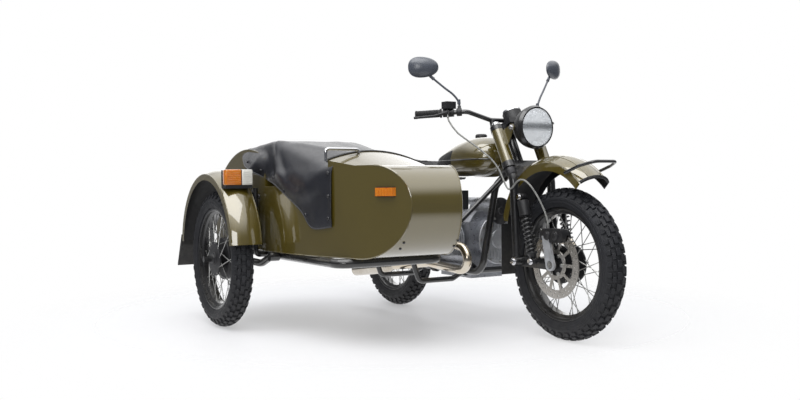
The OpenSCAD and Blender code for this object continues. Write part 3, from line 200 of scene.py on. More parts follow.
# %% [markdown]
# ## Shared surface effects
# Real paint, rubber and castings are never one flat colour. Small node groups carry what several
# finishes share: slow patches of tone, fine grain, brushed lines and road dust that settles low down.
# One group is a painted reflection: a grey band painted across a polished lamp, where it would mirror
# the dim horizon. Each group only puts out colours, values and heights; the shader itself stays in
# each material, with its constants on its own sockets.

# %% Helpers for node groups
VECTOR, COLOUR, VALUE = "NodeSocketVector", "NodeSocketColor", "NodeSocketFloat"


def new_group(name, inputs, outputs):
    """An empty group with named sockets: its tree, its inputs' outputs and its outputs' inputs."""
    group = bpy.data.node_groups.new(name, "ShaderNodeTree")
    for label, kind, value in inputs:
        socket = group.interface.new_socket(label, in_out="INPUT", socket_type=kind)
        if value is not None:
            socket.default_value = value
    for label, kind in outputs:
        group.interface.new_socket(label, in_out="OUTPUT", socket_type=kind)
    return group, group.nodes.new("NodeGroupInput").outputs, group.nodes.new("NodeGroupOutput").inputs


def noise(tree, vector, scale, detail=3.0, rough=0.55):
    node = add_node(tree, "TexNoise")
    for label, value in (("Vector", vector), ("Scale", scale), ("Detail", detail), ("Roughness", rough)):
        feed(tree, node.inputs[label], value)
    return node.outputs["Fac"]


def remap(tree, value, low, high, to_low, to_high):
    return add_node(tree, "MapRange", value, low, high, to_low, to_high).outputs[0]


def blend_colours(tree, amount, first, second):
    """The Mix node has its two colours as its seventh and eighth inputs."""
    return add_node(tree, "Mix", amount, *[None] * 5, first, second, data_type="RGBA").outputs[2]


# %% Patches, grain and brushed lines
# Slow patches of tone with a roughness that follows them
patches, given, made = new_group(
    "tone_patches",
    [("Vector", VECTOR, None), ("Colour", COLOUR, None), ("Patch Colour", COLOUR, None),
     ("Scale", VALUE, 9.0), ("Amount", VALUE, 0.5), ("Rough Low", VALUE, 0.3), ("Rough High", VALUE, 0.5)],
    [("Colour", COLOUR), ("Roughness", VALUE)])
cloud = remap(patches, noise(patches, given["Vector"], given["Scale"], 4.0, 0.62), 0.38, 0.68, 0.0, 1.0)
mask = arithmetic(patches, "MULTIPLY", cloud, given["Amount"])
feed(patches, made[0], blend_colours(patches, mask, given["Colour"], given["Patch Colour"]))
smear = noise(patches, given["Vector"], 55.0, 5.0)
feed(patches, made[1], remap(patches, smear, 0.3, 0.7, given["Rough Low"], given["Rough High"]))

# Fine grain: a height made of small cells broken up by noise
grain, given, made = new_group(
    "fine_grain", [("Vector", VECTOR, None), ("Cells", VALUE, 420.0), ("Cell Share", VALUE, 0.6)],
    [("Height", VALUE)])
cells = add_node(grain, "TexVoronoi", feature="DISTANCE_TO_EDGE")
feed(grain, cells.inputs["Vector"], given["Vector"])
feed(grain, cells.inputs["Scale"], given["Cells"])
hollow = remap(grain, cells.outputs["Distance"], 0.0, 0.16, 0.0, 1.0)
speck = noise(grain, given["Vector"], arithmetic(grain, "MULTIPLY", given["Cells"], 1.7), 2.0)
share = arithmetic(grain, "MULTIPLY", hollow, given["Cell Share"])
feed(grain, made[0], arithmetic(grain, "ADD", share, arithmetic(grain, "MULTIPLY", speck, 0.5)))

# Brushed lines: noise stretched along one direction of the vector that comes in
brushed, given, made = new_group(
    "brushed_lines", [("Vector", VECTOR, None), ("Rough Low", VALUE, 0.15), ("Rough High", VALUE, 0.35)],
    [("Roughness", VALUE)])
lines = noise(brushed, given["Vector"], 1.0, 4.0, 0.7)
feed(brushed, made[0], remap(brushed, lines, 0.3, 0.7, given["Rough Low"], given["Rough High"]))
print("surface groups:", [group.name for group in bpy.data.node_groups])

# %% Road dust and the painted horizon reflection
# Road dust: most near the ground and in patches
dust, given, made = new_group(
    "road_dust",
    [("Vector", VECTOR, None), ("Colour", COLOUR, None), ("Top", VALUE, 0.6), ("Amount", VALUE, 0.25)],
    [("Colour", COLOUR), ("Mask", VALUE)])
height = add_node(dust, "SeparateXYZ", given["Vector"]).outputs["Z"]
low_down = remap(dust, height, 0.0, given["Top"], 1.0, 0.0)
film = remap(dust, noise(dust, given["Vector"], 26.0, 6.0, 0.7), 0.35, 0.75, 0.15, 1.0)
mask = arithmetic(dust, "MULTIPLY", arithmetic(dust, "MULTIPLY", low_down, film), given["Amount"])
feed(dust, made[0], blend_colours(dust, mask, given["Colour"], (0.32, 0.29, 0.25, 1)))
feed(dust, made[1], mask)

# Painted reflection: a grey band painted across the middle of a polished lamp, in place of the dim horizon of
# the room that it would mirror
horizon, given, made = new_group(
    "painted_horizon_band",
    [("Vector", VECTOR, None), ("Colour", COLOUR, None), ("Shade", COLOUR, None), ("Middle", VALUE, 1.0)],
    [("Colour", COLOUR)])
height = add_node(horizon, "SeparateXYZ", given["Vector"]).outputs["Z"]
away = arithmetic(horizon, "ABSOLUTE", arithmetic(horizon, "SUBTRACT", height, given["Middle"]))
clear = smoothstep(horizon, away, 0.003, 0.026)
feed(horizon, made[0], blend_colours(horizon, clear, given["Shade"], given["Colour"]))
print("surface groups:", len(bpy.data.node_groups))

# %% [markdown]
# ## Finishes
# Every finish is one Principled shader fed by those groups. `finish` lays the common wiring:
# object coordinates into the tone patches, then any dust, then any painted horizon reflection, then
# colour and roughness, with an optional grain bump. What is constant all over, such as the coat or the
# metal, is set on the shader's own sockets so that an exported model keeps it.

# %% The common wiring of a finish
# The height of the painted horizon reflection across the headlight, in metres
PAINTED_BAND_HEIGHT = sum(corner[2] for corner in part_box("headlight_reflector")) / 2 + 0.004


def place_group(tree, group, vector, **values):
    node = add_node(tree, "Group", node_tree=group)
    feed(tree, node.inputs["Vector"], vector)
    for label, value in values.items():
        feed(tree, node.inputs[label.replace("_", " ")], value)
    return node.outputs


def srgb(r, g, b):
    """A colour read off a screen, as the linear numbers that shaders use."""
    def linear(c):
        c /= 255
        return c / 12.92 if c <= 0.04045 else ((c + 0.055) / 1.055) ** 2.4
    return (linear(r), linear(g), linear(b), 1)


def finish(name, colour, patch, rough, scale=9.0, amount=0.5, dusty=0.0, dust_top=0.6, bump=None,
           stretch=None, painted_band=None, **sockets):
    material = bpy.data.materials.new(name)
    tree = empty_tree(material)
    shader = add_node(tree, "BsdfPrincipled")
    add_node(tree, "OutputMaterial", shader.outputs[0])
    place = add_node(tree, "TexCoord").outputs["Object"]
    tone = place_group(tree, patches, place, Colour=srgb(*colour), Patch_Colour=srgb(*patch), Scale=scale,
                       Amount=amount, Rough_Low=rough[0], Rough_High=rough[1])
    skin_colour, skin_rough = tone["Colour"], tone["Roughness"]
    if stretch:
        mapping = add_node(tree, "Mapping", place)
        mapping.inputs["Scale"].default_value = stretch
        strokes = place_group(tree, brushed, mapping.outputs[0], Rough_Low=rough[0], Rough_High=rough[1])
        skin_rough = strokes["Roughness"]
    if dusty:
        film = place_group(tree, dust, place, Colour=skin_colour, Top=dust_top, Amount=dusty)
        skin_colour = film["Colour"]
        skin_rough = arithmetic(tree, "MAXIMUM", skin_rough, film["Mask"])
    # Painted reflection: a grey band of the dim horizon, painted into the base colour
    if painted_band:
        across = place_group(tree, horizon, place, Colour=skin_colour, Shade=srgb(*painted_band), Middle=PAINTED_BAND_HEIGHT)
        skin_colour = across["Colour"]
    feed(tree, shader.inputs["Base Color"], skin_colour)
    feed(tree, shader.inputs["Roughness"], skin_rough)
    if bump:
        cells, share, depth, distance = bump
        skin = place_group(tree, grain, place, Cells=cells, Cell_Share=share)
        relief = add_node(tree, "Bump")
        for label, value in (("Strength", depth), ("Distance", distance), ("Height", skin["Height"])):
            feed(tree, relief.inputs[label], value)
        feed(tree, shader.inputs["Normal"], relief.outputs[0])
    for label, value in sockets.items():
        shader.inputs[label.replace("_", " ")].default_value = value
    return material


print("horizon band at", round(PAINTED_BAND_HEIGHT, 3))

# %% [markdown]
# Paint, rubber and plastic come first. The olive is a gloss paint with a strong clear coat, so it
# shows the room; the black on the tubes is thinner and worn; rubber and vinyl have a fine grain.

# %% Paint, rubber and cloth
olive_paint = finish(
    "olive_paint", (91, 79, 24), (83, 71, 20), (0.3, 0.36), 2.0, dusty=0.04,
    Metallic=0.25, Coat_Weight=1.0, Coat_Roughness=0.04, Coat_IOR=2.0)
black_paint = finish(
    "black_gloss_paint", (20, 20, 22), (34, 34, 36), (0.24, 0.4), 14.0, 0.6, dusty=0.1, dust_top=0.5,
    Coat_Weight=0.7, Coat_Roughness=0.1)
satin_black = finish(
    "satin_black", (26, 26, 28), (42, 42, 44), (0.38, 0.55), 18.0, 0.6, bump=(900, 0.4, 0.12, 0.0006))
mirror_shell = finish(
    "mirror_shell", (74, 78, 87), (64, 68, 76), (0.3, 0.4), 20.0, Coat_Weight=0.5, Coat_Roughness=0.2)
tyre_rubber = finish(
    "tyre_rubber", (26, 27, 31), (36, 37, 42), (0.5, 0.7), 20.0, 0.6, dusty=0.07, dust_top=0.45,
    bump=(700, 0.5, 0.2, 0.0008), Specular_IOR_Level=0.35)
soft_rubber = finish(
    "moulded_rubber", (24, 24, 25), (40, 40, 41), (0.55, 0.75), 22.0, 0.6, dusty=0.3, dust_top=0.5,
    bump=(520, 0.5, 0.2, 0.0008))
grey_hose = finish(
    "grey_hose", (150, 150, 146), (104, 104, 102), (0.4, 0.6), 60.0, 0.6, bump=(1200, 0.7, 0.4, 0.001))
vinyl = finish(
    "cover_vinyl", (28, 29, 35), (39, 40, 47), (0.3, 0.42), 7.0, 0.6, bump=(560, 0.8, 0.22, 0.001),
    Coat_Weight=0.25, Coat_Roughness=0.3)
leatherette = finish(
    "seat_leatherette", (27, 27, 29), (40, 40, 42), (0.4, 0.56), 9.0, 0.6, bump=(380, 0.8, 0.4, 0.0016))
print("finishes:", len(bpy.data.materials))

# %% [markdown]
# Bare metal is next: plated and turned steel, steel tinted by heat, and sand-cast aluminium, whose
# grain is coarse enough to see.

# %% Metals
CAST_GRAIN = (620, 0.4, 0.3, 0.0012)
chrome = finish("chrome_plate", (226, 226, 228), (206, 206, 210), (0.04, 0.12), 12.0, 0.6, Metallic=1.0)
bright_steel = finish(
    "zinc_hardware", (190, 190, 188), (140, 140, 138), (0.22, 0.42), 40.0, 0.7, Metallic=1.0)
disc_steel = finish(
    "disc_steel", (196, 192, 186), (160, 156, 150), (0.2, 0.42), 12.0, stretch=(60, 60, 60), Metallic=1.0)
muffler_steel = finish(
    "muffler_steel", (206, 200, 190), (176, 166, 150), (0.14, 0.34), 8.0, 0.7, dusty=0.2, dust_top=0.5,
    stretch=(8, 220, 220), Metallic=1.0)
header_steel = finish(
    "heat_tinted_steel", (214, 206, 192), (196, 172, 136), (0.12, 0.26), 6.0, 0.7, Metallic=1.0)
cast_alloy = finish(
    "cast_alloy", (196, 198, 202), (146, 147, 150), (0.34, 0.56), 16.0, 0.7, dusty=0.1, dust_top=0.7,
    bump=CAST_GRAIN, Metallic=0.65)
engine_alloy = finish(
    "engine_alloy", (170, 172, 178), (120, 122, 127), (0.24, 0.4), 12.0, 0.7, dusty=0.1, dust_top=0.7,
    bump=CAST_GRAIN, Metallic=0.9)
dark_alloy = finish(
    "dark_alloy", (86, 86, 88), (52, 52, 54), (0.4, 0.6), 20.0, 0.7, bump=CAST_GRAIN, Metallic=1.0)
mirror_face = finish("mirror_face", (176, 181, 188), (168, 173, 180), (0.01, 0.03), 6.0, 0.4, Metallic=1.0)
print("finishes:", len(bpy.data.materials))

# %% [markdown]
# Lamp plastic takes light in and gives it back coloured, under a smooth face. The headlight's
# reflector is painted plain white and its glass is partly a white diffuse face: a painted reflection
# of the bright studio. Both also carry the painted horizon reflection. Light has to reach the
# reflector through the glass, so to shadow rays the glass is clear.

# %% Lenses and glass
def lens(name, colour, patch, rough, **sockets):
    return finish(name, colour, patch, rough, 30.0, Coat_Weight=1.0, **sockets)


amber_lens = lens("amber_lens", (204, 118, 26), (185, 106, 22), (0.08, 0.16),
                  Subsurface_Weight=0.3, Subsurface_Radius=(0.01, 0.004, 0.001))
clear_lens = lens("clear_lens", (214, 212, 204), (194, 192, 185), (0.06, 0.14))
red_lens = lens("red_lens", (150, 14, 12), (135, 11, 10), (0.08, 0.16))
# Painted reflection: a near-white diffuse reflector instead of a mirror, with a grey horizon band painted
# across it
reflector_face = finish("reflector_face", (252, 252, 252), (248, 248, 248), (0.3, 0.4), 3.0, 0.2,
                        painted_band=(150, 153, 156), Metallic=0.1)
# Painted reflection: a third of the glass is a white diffuse face, with a grey horizon band painted across it
lamp_glass = finish("lamp_glass", (246, 248, 250), (238, 242, 246), (0.01, 0.04), 6.0, 0.4,
                    painted_band=(166, 169, 172), Transmission_Weight=0.65, IOR=1.45)
tree = lamp_glass.node_tree
shadow_ray = add_node(tree, "LightPath").outputs["Is Shadow Ray"]
glass = mix_shaders(tree, shadow_ray, tree.nodes["Principled BSDF"], add_node(tree, "BsdfTransparent"))
feed(tree, tree.nodes["Material Output"].inputs["Surface"], glass.outputs[0])
print("finishes:", len(bpy.data.materials))

# %% [markdown]
# ## Finishes on the solids that stay
# A solid whose shape is right keeps its CAD mesh and only takes a finish. The list pairs each
# finish with the solids that wear it on the real machine.

# %% Paint the CAD solids
WORN_BY = {
    olive_paint: ["rear_fender", "front_fender", "sidecar_fender", "sidecar_body", "trunk_lid", "fork_covers",
                  "fuel_tank"],
    black_paint: ["frame", "sidecar_frame", "sidecar_arm", "swingarm", "fork", "leading_links", "handlebar",
                  "fender_hoop", "headlight_rim", "plate_bracket"],
    satin_black: ["headlight_bucket", "instrument", "brake_control", "clutch_control", "mirrors",
                  "air_filter", "final_drive", "tail_lamp", "fender_lamp", "front_shocks", "rear_shocks",
                  "sidecar_shock", "front_wheel", "rear_wheel", "sidecar_wheel"],
    tyre_rubber: ["front_tyre", "rear_tyre", "sidecar_tyre"],
    soft_rubber: ["grips", "front_mud_flap", "mud_flap", "cowl_trim", "footpegs"],
    chrome: ["grab_rail"],
    bright_steel: ["front_axle", "rear_axle"],
    disc_steel: ["front_disc"],
    muffler_steel: ["mufflers"],
    header_steel: ["exhaust_pipes"],
    engine_alloy: ["engine_block", "gearbox"],
    cast_alloy: ["cylinder_heads", "cylinder_barrels", "carburettors", "front_caliper"],
    vinyl: ["sidecar_cover"],
    leatherette: ["bench_seat"],
    grey_hose: ["brake_hose"],
    amber_lens: ["marker_lamp"],
    reflector_face: ["headlight_reflector"],
    lamp_glass: ["headlight_lens"],
}


def coat(piece, *finishes):
    """Gives a piece these finishes; its faces wear the first until they are told otherwise."""
    piece.data.materials.clear()
    for each in finishes:
        piece.data.materials.append(each)
    return piece


for paint, names in WORN_BY.items():
    for name in names:
        coat(NODES[name], paint)
print("unpainted solids:", sorted(set(NODES) - {n for names in WORN_BY.values() for n in names}))

# %% [markdown]
# ## Modelling helpers
# The same few moves come back all the time: select one piece, go into edit mode, spin a profile,
# wrap a grid, run a bar between two points. Each is a short function around the operators, so the
# cells below can say what a piece is rather than how Blender is driven.

# %% Selecting and editing
def clear_selection():
    """Leaves nothing selected, because an operator acts on all that is."""
    if bpy.context.mode != "OBJECT":
        bpy.ops.object.mode_set(mode="OBJECT")
    bpy.ops.object.select_all(action="DESELECT")


def pick(*pieces):
    """Selects these pieces only; the last one is active."""
    clear_selection()
    for piece in pieces:
        piece.select_set(True)
    bpy.context.view_layer.objects.active = pieces[-1]


def edit(piece, select="SELECT"):
    pick(piece)
    bpy.ops.object.mode_set(mode="EDIT")
    bpy.ops.mesh.select_all(action=select)


def leave():
    bpy.ops.object.mode_set(mode="OBJECT")


# %% Joining, closing and turning
def settle(piece):
    """Puts a piece's place, turn and scale into its mesh."""
    pick(piece)
    bpy.ops.object.transform_apply(location=True, rotation=True, scale=True)
    return piece


def merge(pieces):
    """Joins pieces into one, each keeping its own finish."""
    pick(*pieces)
    if len(pieces) > 1:
        bpy.ops.object.join()
    return bpy.context.object


def face_outwards(piece):
    edit(piece)
    bpy.ops.mesh.normals_make_consistent(inside=False)
    leave()
    return piece


def close_up(piece):
    """Merges doubles, fills open ends and points the faces outwards."""
    edit(piece)
    bpy.ops.mesh.remove_doubles(threshold=0.00002)
    bpy.ops.mesh.fill_holes(sides=0)
    leave()
    return face_outwards(piece)


def modify(piece, kind, **settings):
    pick(piece)
    modifier = piece.modifiers.new(kind.lower(), kind)
    for label, value in settings.items():
        setattr(modifier, label, value)
    bpy.ops.object.modifier_apply(modifier=modifier.name)
    return piece


def turned(piece, place, way):
    """Turns a piece from +Z to the given way, and sets it down at the place."""
    piece.rotation_mode = "QUATERNION"
    piece.rotation_quaternion = Vector((0, 0, 1)).rotation_difference(Vector(way).normalized())
    piece.location = place
    return settle(piece)


# %% [markdown]
# Most pieces start as one of five shapes: a spun profile, a bar, a bevelled box, a wrapped grid or
# a tube along a curve. Sizes of profiles are in millimetres, places are frame points in metres.

# %% Spun profiles, bars and boxes
def mm(*numbers):
    return Vector(numbers) / 1000


def add_object(name, data):
    piece = bpy.data.objects.new(name, data)
    scene.collection.objects.link(piece)
    return piece


def lathe(profile, steps=64, closed=False):
    """Spins a profile of (radius, along) points, in mm, round the Z axis."""
    mesh = bpy.data.meshes.new("profile")
    last = len(profile) - 1
    mesh.from_pydata([(r / 1000, 0, h / 1000) for r, h in profile],
                     [(i, i + 1) for i in range(last)] + ([(last, 0)] if closed else []), [])
    piece = add_object("profile", mesh)
    edit(piece)
    bpy.ops.mesh.spin(steps=steps, angle=math.tau, center=(0, 0, 0), axis=(0, 0, 1))
    leave()
    return close_up(piece)


def repeat_round(piece, count):
    """Copies all of a mesh round the Y axis, count times in a full turn."""
    edit(piece)
    bpy.ops.mesh.spin(steps=count - 1, dupli=True, angle=math.tau * (count - 1) / count,
                      center=(0, 0, 0), axis=(0, 1, 0))
    leave()
    return piece


def bar(start, end, radius, sides=8, end_radius=None):
    """A round bar between two frame points; with an end radius it tapers."""
    start, end = Vector(start), Vector(end)
    clear_selection()
    bpy.ops.mesh.primitive_cone_add(vertices=sides, radius1=radius, depth=(end - start).length,
                                    radius2=radius if end_radius is None else end_radius)
    return turned(bpy.context.object, (start + end) / 2, end - start)


def bevelled_box(low, high, bevel, segments=3):
    """A box between two corners with rounded edges."""
    low, high = Vector(low), Vector(high)
    clear_selection()
    bpy.ops.mesh.primitive_cube_add(size=1, location=(low + high) / 2)
    piece = bpy.context.object
    piece.scale = high - low
    settle(piece)
    edit(piece)
    bpy.ops.mesh.bevel(offset=bevel, segments=segments)
    leave()
    return piece


# %% Wrapped grids, tubes and skins
def wrapped(columns, rows, shape):
    """A grid whose every point is laid where shape(u, v) says, with u and v from 0 to 1."""
    clear_selection()
    bpy.ops.mesh.primitive_grid_add(x_subdivisions=columns, y_subdivisions=rows, size=1)
    piece = bpy.context.object
    for vertex in piece.data.vertices:
        vertex.co = shape(vertex.co.x + 0.5, vertex.co.y + 0.5)
    return piece


def tube(points, radius, sides=10, smooth=True):
    """A round tube through frame points, as a curve that is turned into a mesh."""
    curve = bpy.data.curves.new("run", "CURVE")
    curve.dimensions = "3D"
    curve.bevel_depth = radius
    curve.bevel_resolution = sides // 4 - 1
    curve.use_fill_caps = True
    curve.resolution_u = 6
    spline = curve.splines.new("BEZIER" if smooth else "POLY")
    spots = spline.bezier_points if smooth else spline.points
    spots.add(len(points) - 1)
    for spot, place in zip(spots, points):
        if smooth:
            spot.co = place
            spot.handle_left_type = spot.handle_right_type = "AUTO"
        else:
            spot.co = (*place, 1)
    pick(add_object("run", curve))
    bpy.ops.object.convert(target="MESH")
    return close_up(bpy.context.object)


def skin_of(piece):
    """The surface of a piece, to be looked at with rays."""
    return BVHTree.FromPolygons([piece.matrix_world @ v.co for v in piece.data.vertices],
                                [tuple(p.vertices) for p in piece.data.polygons])


# %% [markdown]
# A finished piece gets its name, its finish and smooth shading. It also says which CAD solids it
# stands for, and on which body it rides.


def dress(piece, name, body, paint=None, stands_for=(), smooth=38):
    piece.name = piece.data.name = name
    settle(piece)
    bpy.ops.object.shade_smooth_by_angle(angle=math.radians(smooth))
    if paint:
        coat(piece, paint)
    if stands_for:
        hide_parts(*stands_for)
    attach(piece, body)
    return piece


def twin(piece, place):
    """A copy of a piece with its own mesh, at the place."""
    pick(piece)
    bpy.ops.object.duplicate()
    made = bpy.context.object
    made.location = place
    return settle(made)


# %% [markdown]
# ## Tyres with tread blocks
# The tyres are all-round block tyres: two rows of centre blocks, two rows beside them and lugs on
# the shoulders, each row staggered from the next. One block of each row is a bevelled box with a
# tapered top; the spin operator copies the six of them round the wheel. The casing under them is
# a spun profile with moulded rings on its side walls. All three wheels have the same tyre, so it is
# modelled once at the origin, and copies go to the axles.

# %% One tyre, copied to three axles
TYRE_R, TREAD_R, PITCHES = 286, 48.4, 42
AXLES = {"front_wheel": at(1470, 0, 340), "rear_wheel": at(0, 0, 340), "sidecar_wheel": at(200, -1146, 340)}
# Half of the casing's section: the angle from the crown and the distance from the tyre's core
CASING = ((0, 46.4), (20, 46.4), (40, 46.4), (56, 46.6), (68, 48), (76, 51.5), (80, 52.6), (84, 52.6),
          (85, 53.6), (87, 53.6), (88, 52.8), (98, 52.8), (99, 53.8), (102, 53.8), (103, 52.8), (116, 52.6),
          (126, 53))
TYRE_BEAD = [(254.3, 34.6), (247, 34.6)]
# Rows of blocks: the angle across the tyre, the stagger in pitches, and a block's length and width
TREAD_ROWS = ((13, 0.0, 34, 21), (-13, 0.5, 34, 21), (37, 0.35, 29, 18), (-37, 0.85, 29, 18),
              (61, 0.0, 23, 22), (-61, 0.5, 23, 22))
BLOCK_HEIGHT = 11


def casing_point(angle, rise):
    a = math.radians(angle)
    return (TYRE_R + rise * math.cos(a), rise * math.sin(a))


def both_sides(half):
    """A section from one edge to the other, from the half that starts on the middle line."""
    return [(r, -y) for r, y in reversed(half[1:])] + half


def tread_block(angle, stagger, length, width):
    """A block that stands on the casing at an angle across it, shifted round by a share of the pitch."""
    clear_selection()
    bpy.ops.mesh.primitive_cube_add(size=1)
    block = bpy.context.object
    block.scale = mm(BLOCK_HEIGHT, width, length)
    settle(block)
    for vertex in block.data.vertices:
        if vertex.co.x > 0:
            vertex.co.y *= 0.84
            vertex.co.z *= 0.86
    edit(block)
    bpy.ops.mesh.bevel(offset=0.0012, segments=1)
    leave()
    r, across = casing_point(angle, TREAD_R)
    turn = Matrix.Rotation(math.tau * stagger / PITCHES, 4, "Y")
    lean = Matrix.Rotation(math.radians(angle), 4, "Z")
    block.matrix_world = turn @ Matrix.Translation(mm(r, across, 0)) @ lean
    return settle(block)


tread = repeat_round(merge([tread_block(*row) for row in TREAD_ROWS]), PITCHES)
casing = lathe(both_sides([casing_point(*spot) for spot in CASING] + TYRE_BEAD), 120, closed=True)
casing.rotation_euler = (math.radians(-90), 0, 0)
tyre = merge([settle(casing), tread])
print("tyre triangles about", 2 * len(tyre.data.polygons))
for body in ("rear_wheel", "sidecar_wheel"):
    name = body.replace("wheel", "block_tyre")
    dress(twin(tyre, AXLES[body]), name, body, tyre_rubber, [name.replace("_block", "")])
tyre.location = AXLES["front_wheel"]
dress(tyre, "front_block_tyre", "front_wheel", tyre_rubber, ["front_tyre"])

# %% [markdown]
# ## Laced wheels
# A black steel rim, forty bright spokes and a hub. The spokes of such a wheel leave the hub
# flange nearly on a tangent, by turns forwards and backwards, and each ends in a nipple at the rim.
# Four spokes and their nipples make one repeat; ten repeats make the wheel. The rear and sidecar
# hubs carry a drum on their inner side, the front hub a boss for the brake disc.

# %% Rim, hub and spokes
RIM_OUTSIDE = [(253, 38.5), (252, 40), (247, 40), (240, 37), (238.5, 24), (225, 18), (223, 0)]
RIM_INSIDE = [(227.5, 0), (229, 16), (242, 22), (243.6, 34.4), (251, 35.4)]
HUB_END = [(10.4, 45), (30, 45), (34, 41)]
FLANGE = [(85, 40), (85, 33), (80, 32), (42, 30)]
DISC_SIDE = [(38, 22), (38, -22), (42, -30), (80, -32), (85, -33), (85, -40), (58, -41), (58, -61),
             (56, -62.6), (10.4, -62.6)]
DRUM_SIDE = [(38, 10), (44, 4), (100, 0), (104, -4), (104, -36), (85, -40), (40, -41), (34, -45), (10.4, -45)]
SPOKE_REPEATS, SPOKE_STEP, SPOKE_SWEEP = 10, 18, 34
SPOKE_ROOT_R, SPOKE_TIP_R = 79, 230


def rim():
    far_side = [(r, -y) for r, y in reversed(RIM_OUTSIDE[:-1])]
    inside = [(r, -y) for r, y in reversed(RIM_INSIDE[1:])] + RIM_INSIDE
    return coat(lathe(RIM_OUTSIDE + far_side + inside, 120, closed=True), black_paint)


def hub(brake):
    return coat(lathe(HUB_END + FLANGE + brake, closed=True), satin_black)


def spoke(side, step, way):
    """One spoke from its flange to the rim, swept forwards or backwards, with its nipple and head."""
    a = math.radians(SPOKE_STEP * step + (0 if side > 0 else SPOKE_STEP / 2))
    b = a + math.radians(SPOKE_SWEEP * way)
    root = mm(SPOKE_ROOT_R * math.cos(a), side * (36 + 2.5 * way), SPOKE_ROOT_R * math.sin(a))
    tip = mm(SPOKE_TIP_R * math.cos(b), side * (8 + 2 * way), SPOKE_TIP_R * math.sin(b))
    nipple = tip - (tip - root).normalized() * 0.016
    head = root + Vector((0, side * way * 0.002, 0))
    return [bar(root, tip, 0.002), bar(nipple, tip, 0.0026, 8, 0.0042), bar(root, head, 0.004, 8, 0.003)]


def laced_wheel(body, brake, quarter_turn):
    core = merge([rim(), hub(brake)])
    core.rotation_euler = (math.radians(quarter_turn), 0, 0)
    settle(core)
    four = [spoke(side, step, way) for side in (1, -1) for step, way in ((0, 1), (1, -1))]
    spokes = repeat_round(coat(merge(sum(four, [])), bright_steel), SPOKE_REPEATS)
    wheel = merge([core, spokes])
    wheel.location = AXLES[body]
    return dress(wheel, body.replace("wheel", "laced_wheel"), body, None, [body])


laced_wheel("front_wheel", DISC_SIDE, -90)
laced_wheel("rear_wheel", DRUM_SIDE, -90)
laced_wheel("sidecar_wheel", DRUM_SIDE, 90)
print("wheels laced with", 4 * SPOKE_REPEATS, "spokes each")

# %% [markdown]
# ## Spring legs
# CAD shows each spring leg with stacked rings. The real ones are coil springs round a damper: a
# dust cap above, the open coil below it, then a cup and a rubber-bushed eye at each end. The coil
# is a small circle swept by the Screw modifier; the rest is spun.

# %% Coil springs and dampers
EYE_RING = [(9.5, -11), (14, -11), (15, -9.5), (15, 9.5), (14, 11), (9.5, 11)]
EYE_BUSH = [(8.1, -11.8), (9.6, -11.8), (9.6, 11.8), (8.1, 11.8)]
COIL_TURNS, COIL_WIRE, CUP_SHARE = 8, 4.6, 0.86


def coil(radius, start, end):
    clear_selection()
    bpy.ops.mesh.primitive_circle_add(vertices=10, radius=COIL_WIRE / 1000, location=mm(radius, 0, start),
                                      rotation=(math.pi / 2, 0, 0))
    piece = settle(bpy.context.object)
    modify(piece, "SCREW", axis="Z", angle=math.tau, iterations=COIL_TURNS, steps=20, render_steps=20,
           screw_offset=(end - start) / COIL_TURNS / 1000, use_normal_calculate=True)
    return coat(close_up(piece), black_paint)


def damper(radius, cap, cup, long):
    """Dust cap, rod, spring cup and shank, from the top eye down."""
    return coat(lathe([
        (0, 4), (8, 4), (8, 16), (radius - 6, 17), (radius - 1, 20), (radius, 24), (radius, cap - 8),
        (radius + 1.5, cap - 7), (radius + 1.5, cap - 1), (radius - 2, cap), (11, cap), (11, cup),
        (radius - 3, cup), (radius - 1, cup + 2), (radius - 1, cup + 7), (radius - 5, cup + 9),
        (13, long - 18), (8, long - 14), (8, long - 4), (0, long - 4)], 40), satin_black)


def spring_leg(top, foot, radius, cap_share):
    long = (foot - top).length * 1000
    cap, cup = long * cap_share, long * CUP_SHARE
    leg = turned(merge([damper(radius, cap, cup, long), coil(radius - 5, cap + 5, cup - 4)]), top, foot - top)
    eyes = []
    for spot in (top, foot):
        ring, bush = lathe(EYE_RING, 32, closed=True), lathe(EYE_BUSH, 24, closed=True)
        eyes.append(turned(coat(ring, satin_black), spot, (0, 1, 0)))
        eyes.append(turned(coat(bush, soft_rubber), spot, (0, 1, 0)))
    return merge([leg] + eyes)


SIDES = (-1, 1)
for name, body, radius, share, spots in (
        ("front_spring_legs", "steering", 26, 0.3,
         [((1302, s * 114, 640), (1378, s * 114, 352)) for s in SIDES]),
        ("rear_spring_legs", "chassis", 26, 0.34, [((56, s * 150, 741), (40, s * 150, 350)) for s in SIDES]),
        ("sidecar_spring_leg", "chassis", 22, 0.34, [((330, -1040, 650), (284, -1040, 380))])):
    legs = merge([spring_leg(at(*top), at(*foot), radius, share) for top, foot in spots])
    dress(legs, name, body, None, [name.replace("spring_leg", "shock")])
    print(name, "has", len(spots), "legs")

# %% [markdown]
# ## Tank
# The tank is a drop: widest before the rider's knees, round over the top, with a seam where its
# two pressings are welded. A grid is wrapped round five sections, eased into each other, and its
# ends are drawn in round. The knee pads are pieces of the same surface, lifted off it.

# %% Smooth runs through a few stations
def eased(table, x, column):
    """A smooth curve through one column of a table whose first column is x."""
    last = len(table) - 1
    i = max(k for k in range(last) if x >= table[k][0] or k == 0)

    def slope(k):
        low, high = max(k - 1, 0), min(k + 1, last)
        return (table[high][column] - table[low][column]) / (table[high][0] - table[low][0])
    run = table[i + 1][0] - table[i][0]
    t = min(max((x - table[i][0]) / run, 0), 1)
    return ((2 * t ** 3 - 3 * t ** 2 + 1) * table[i][column] + (t ** 3 - 2 * t ** 2 + t) * run * slope(i)
            + (3 * t ** 2 - 2 * t ** 3) * table[i + 1][column] + (t ** 3 - t ** 2) * run * slope(i + 1))


def squared(wave, power):
    """A sine or cosine that fills its corners out, the more so the smaller the power."""
    return math.copysign(abs(wave) ** power, wave)


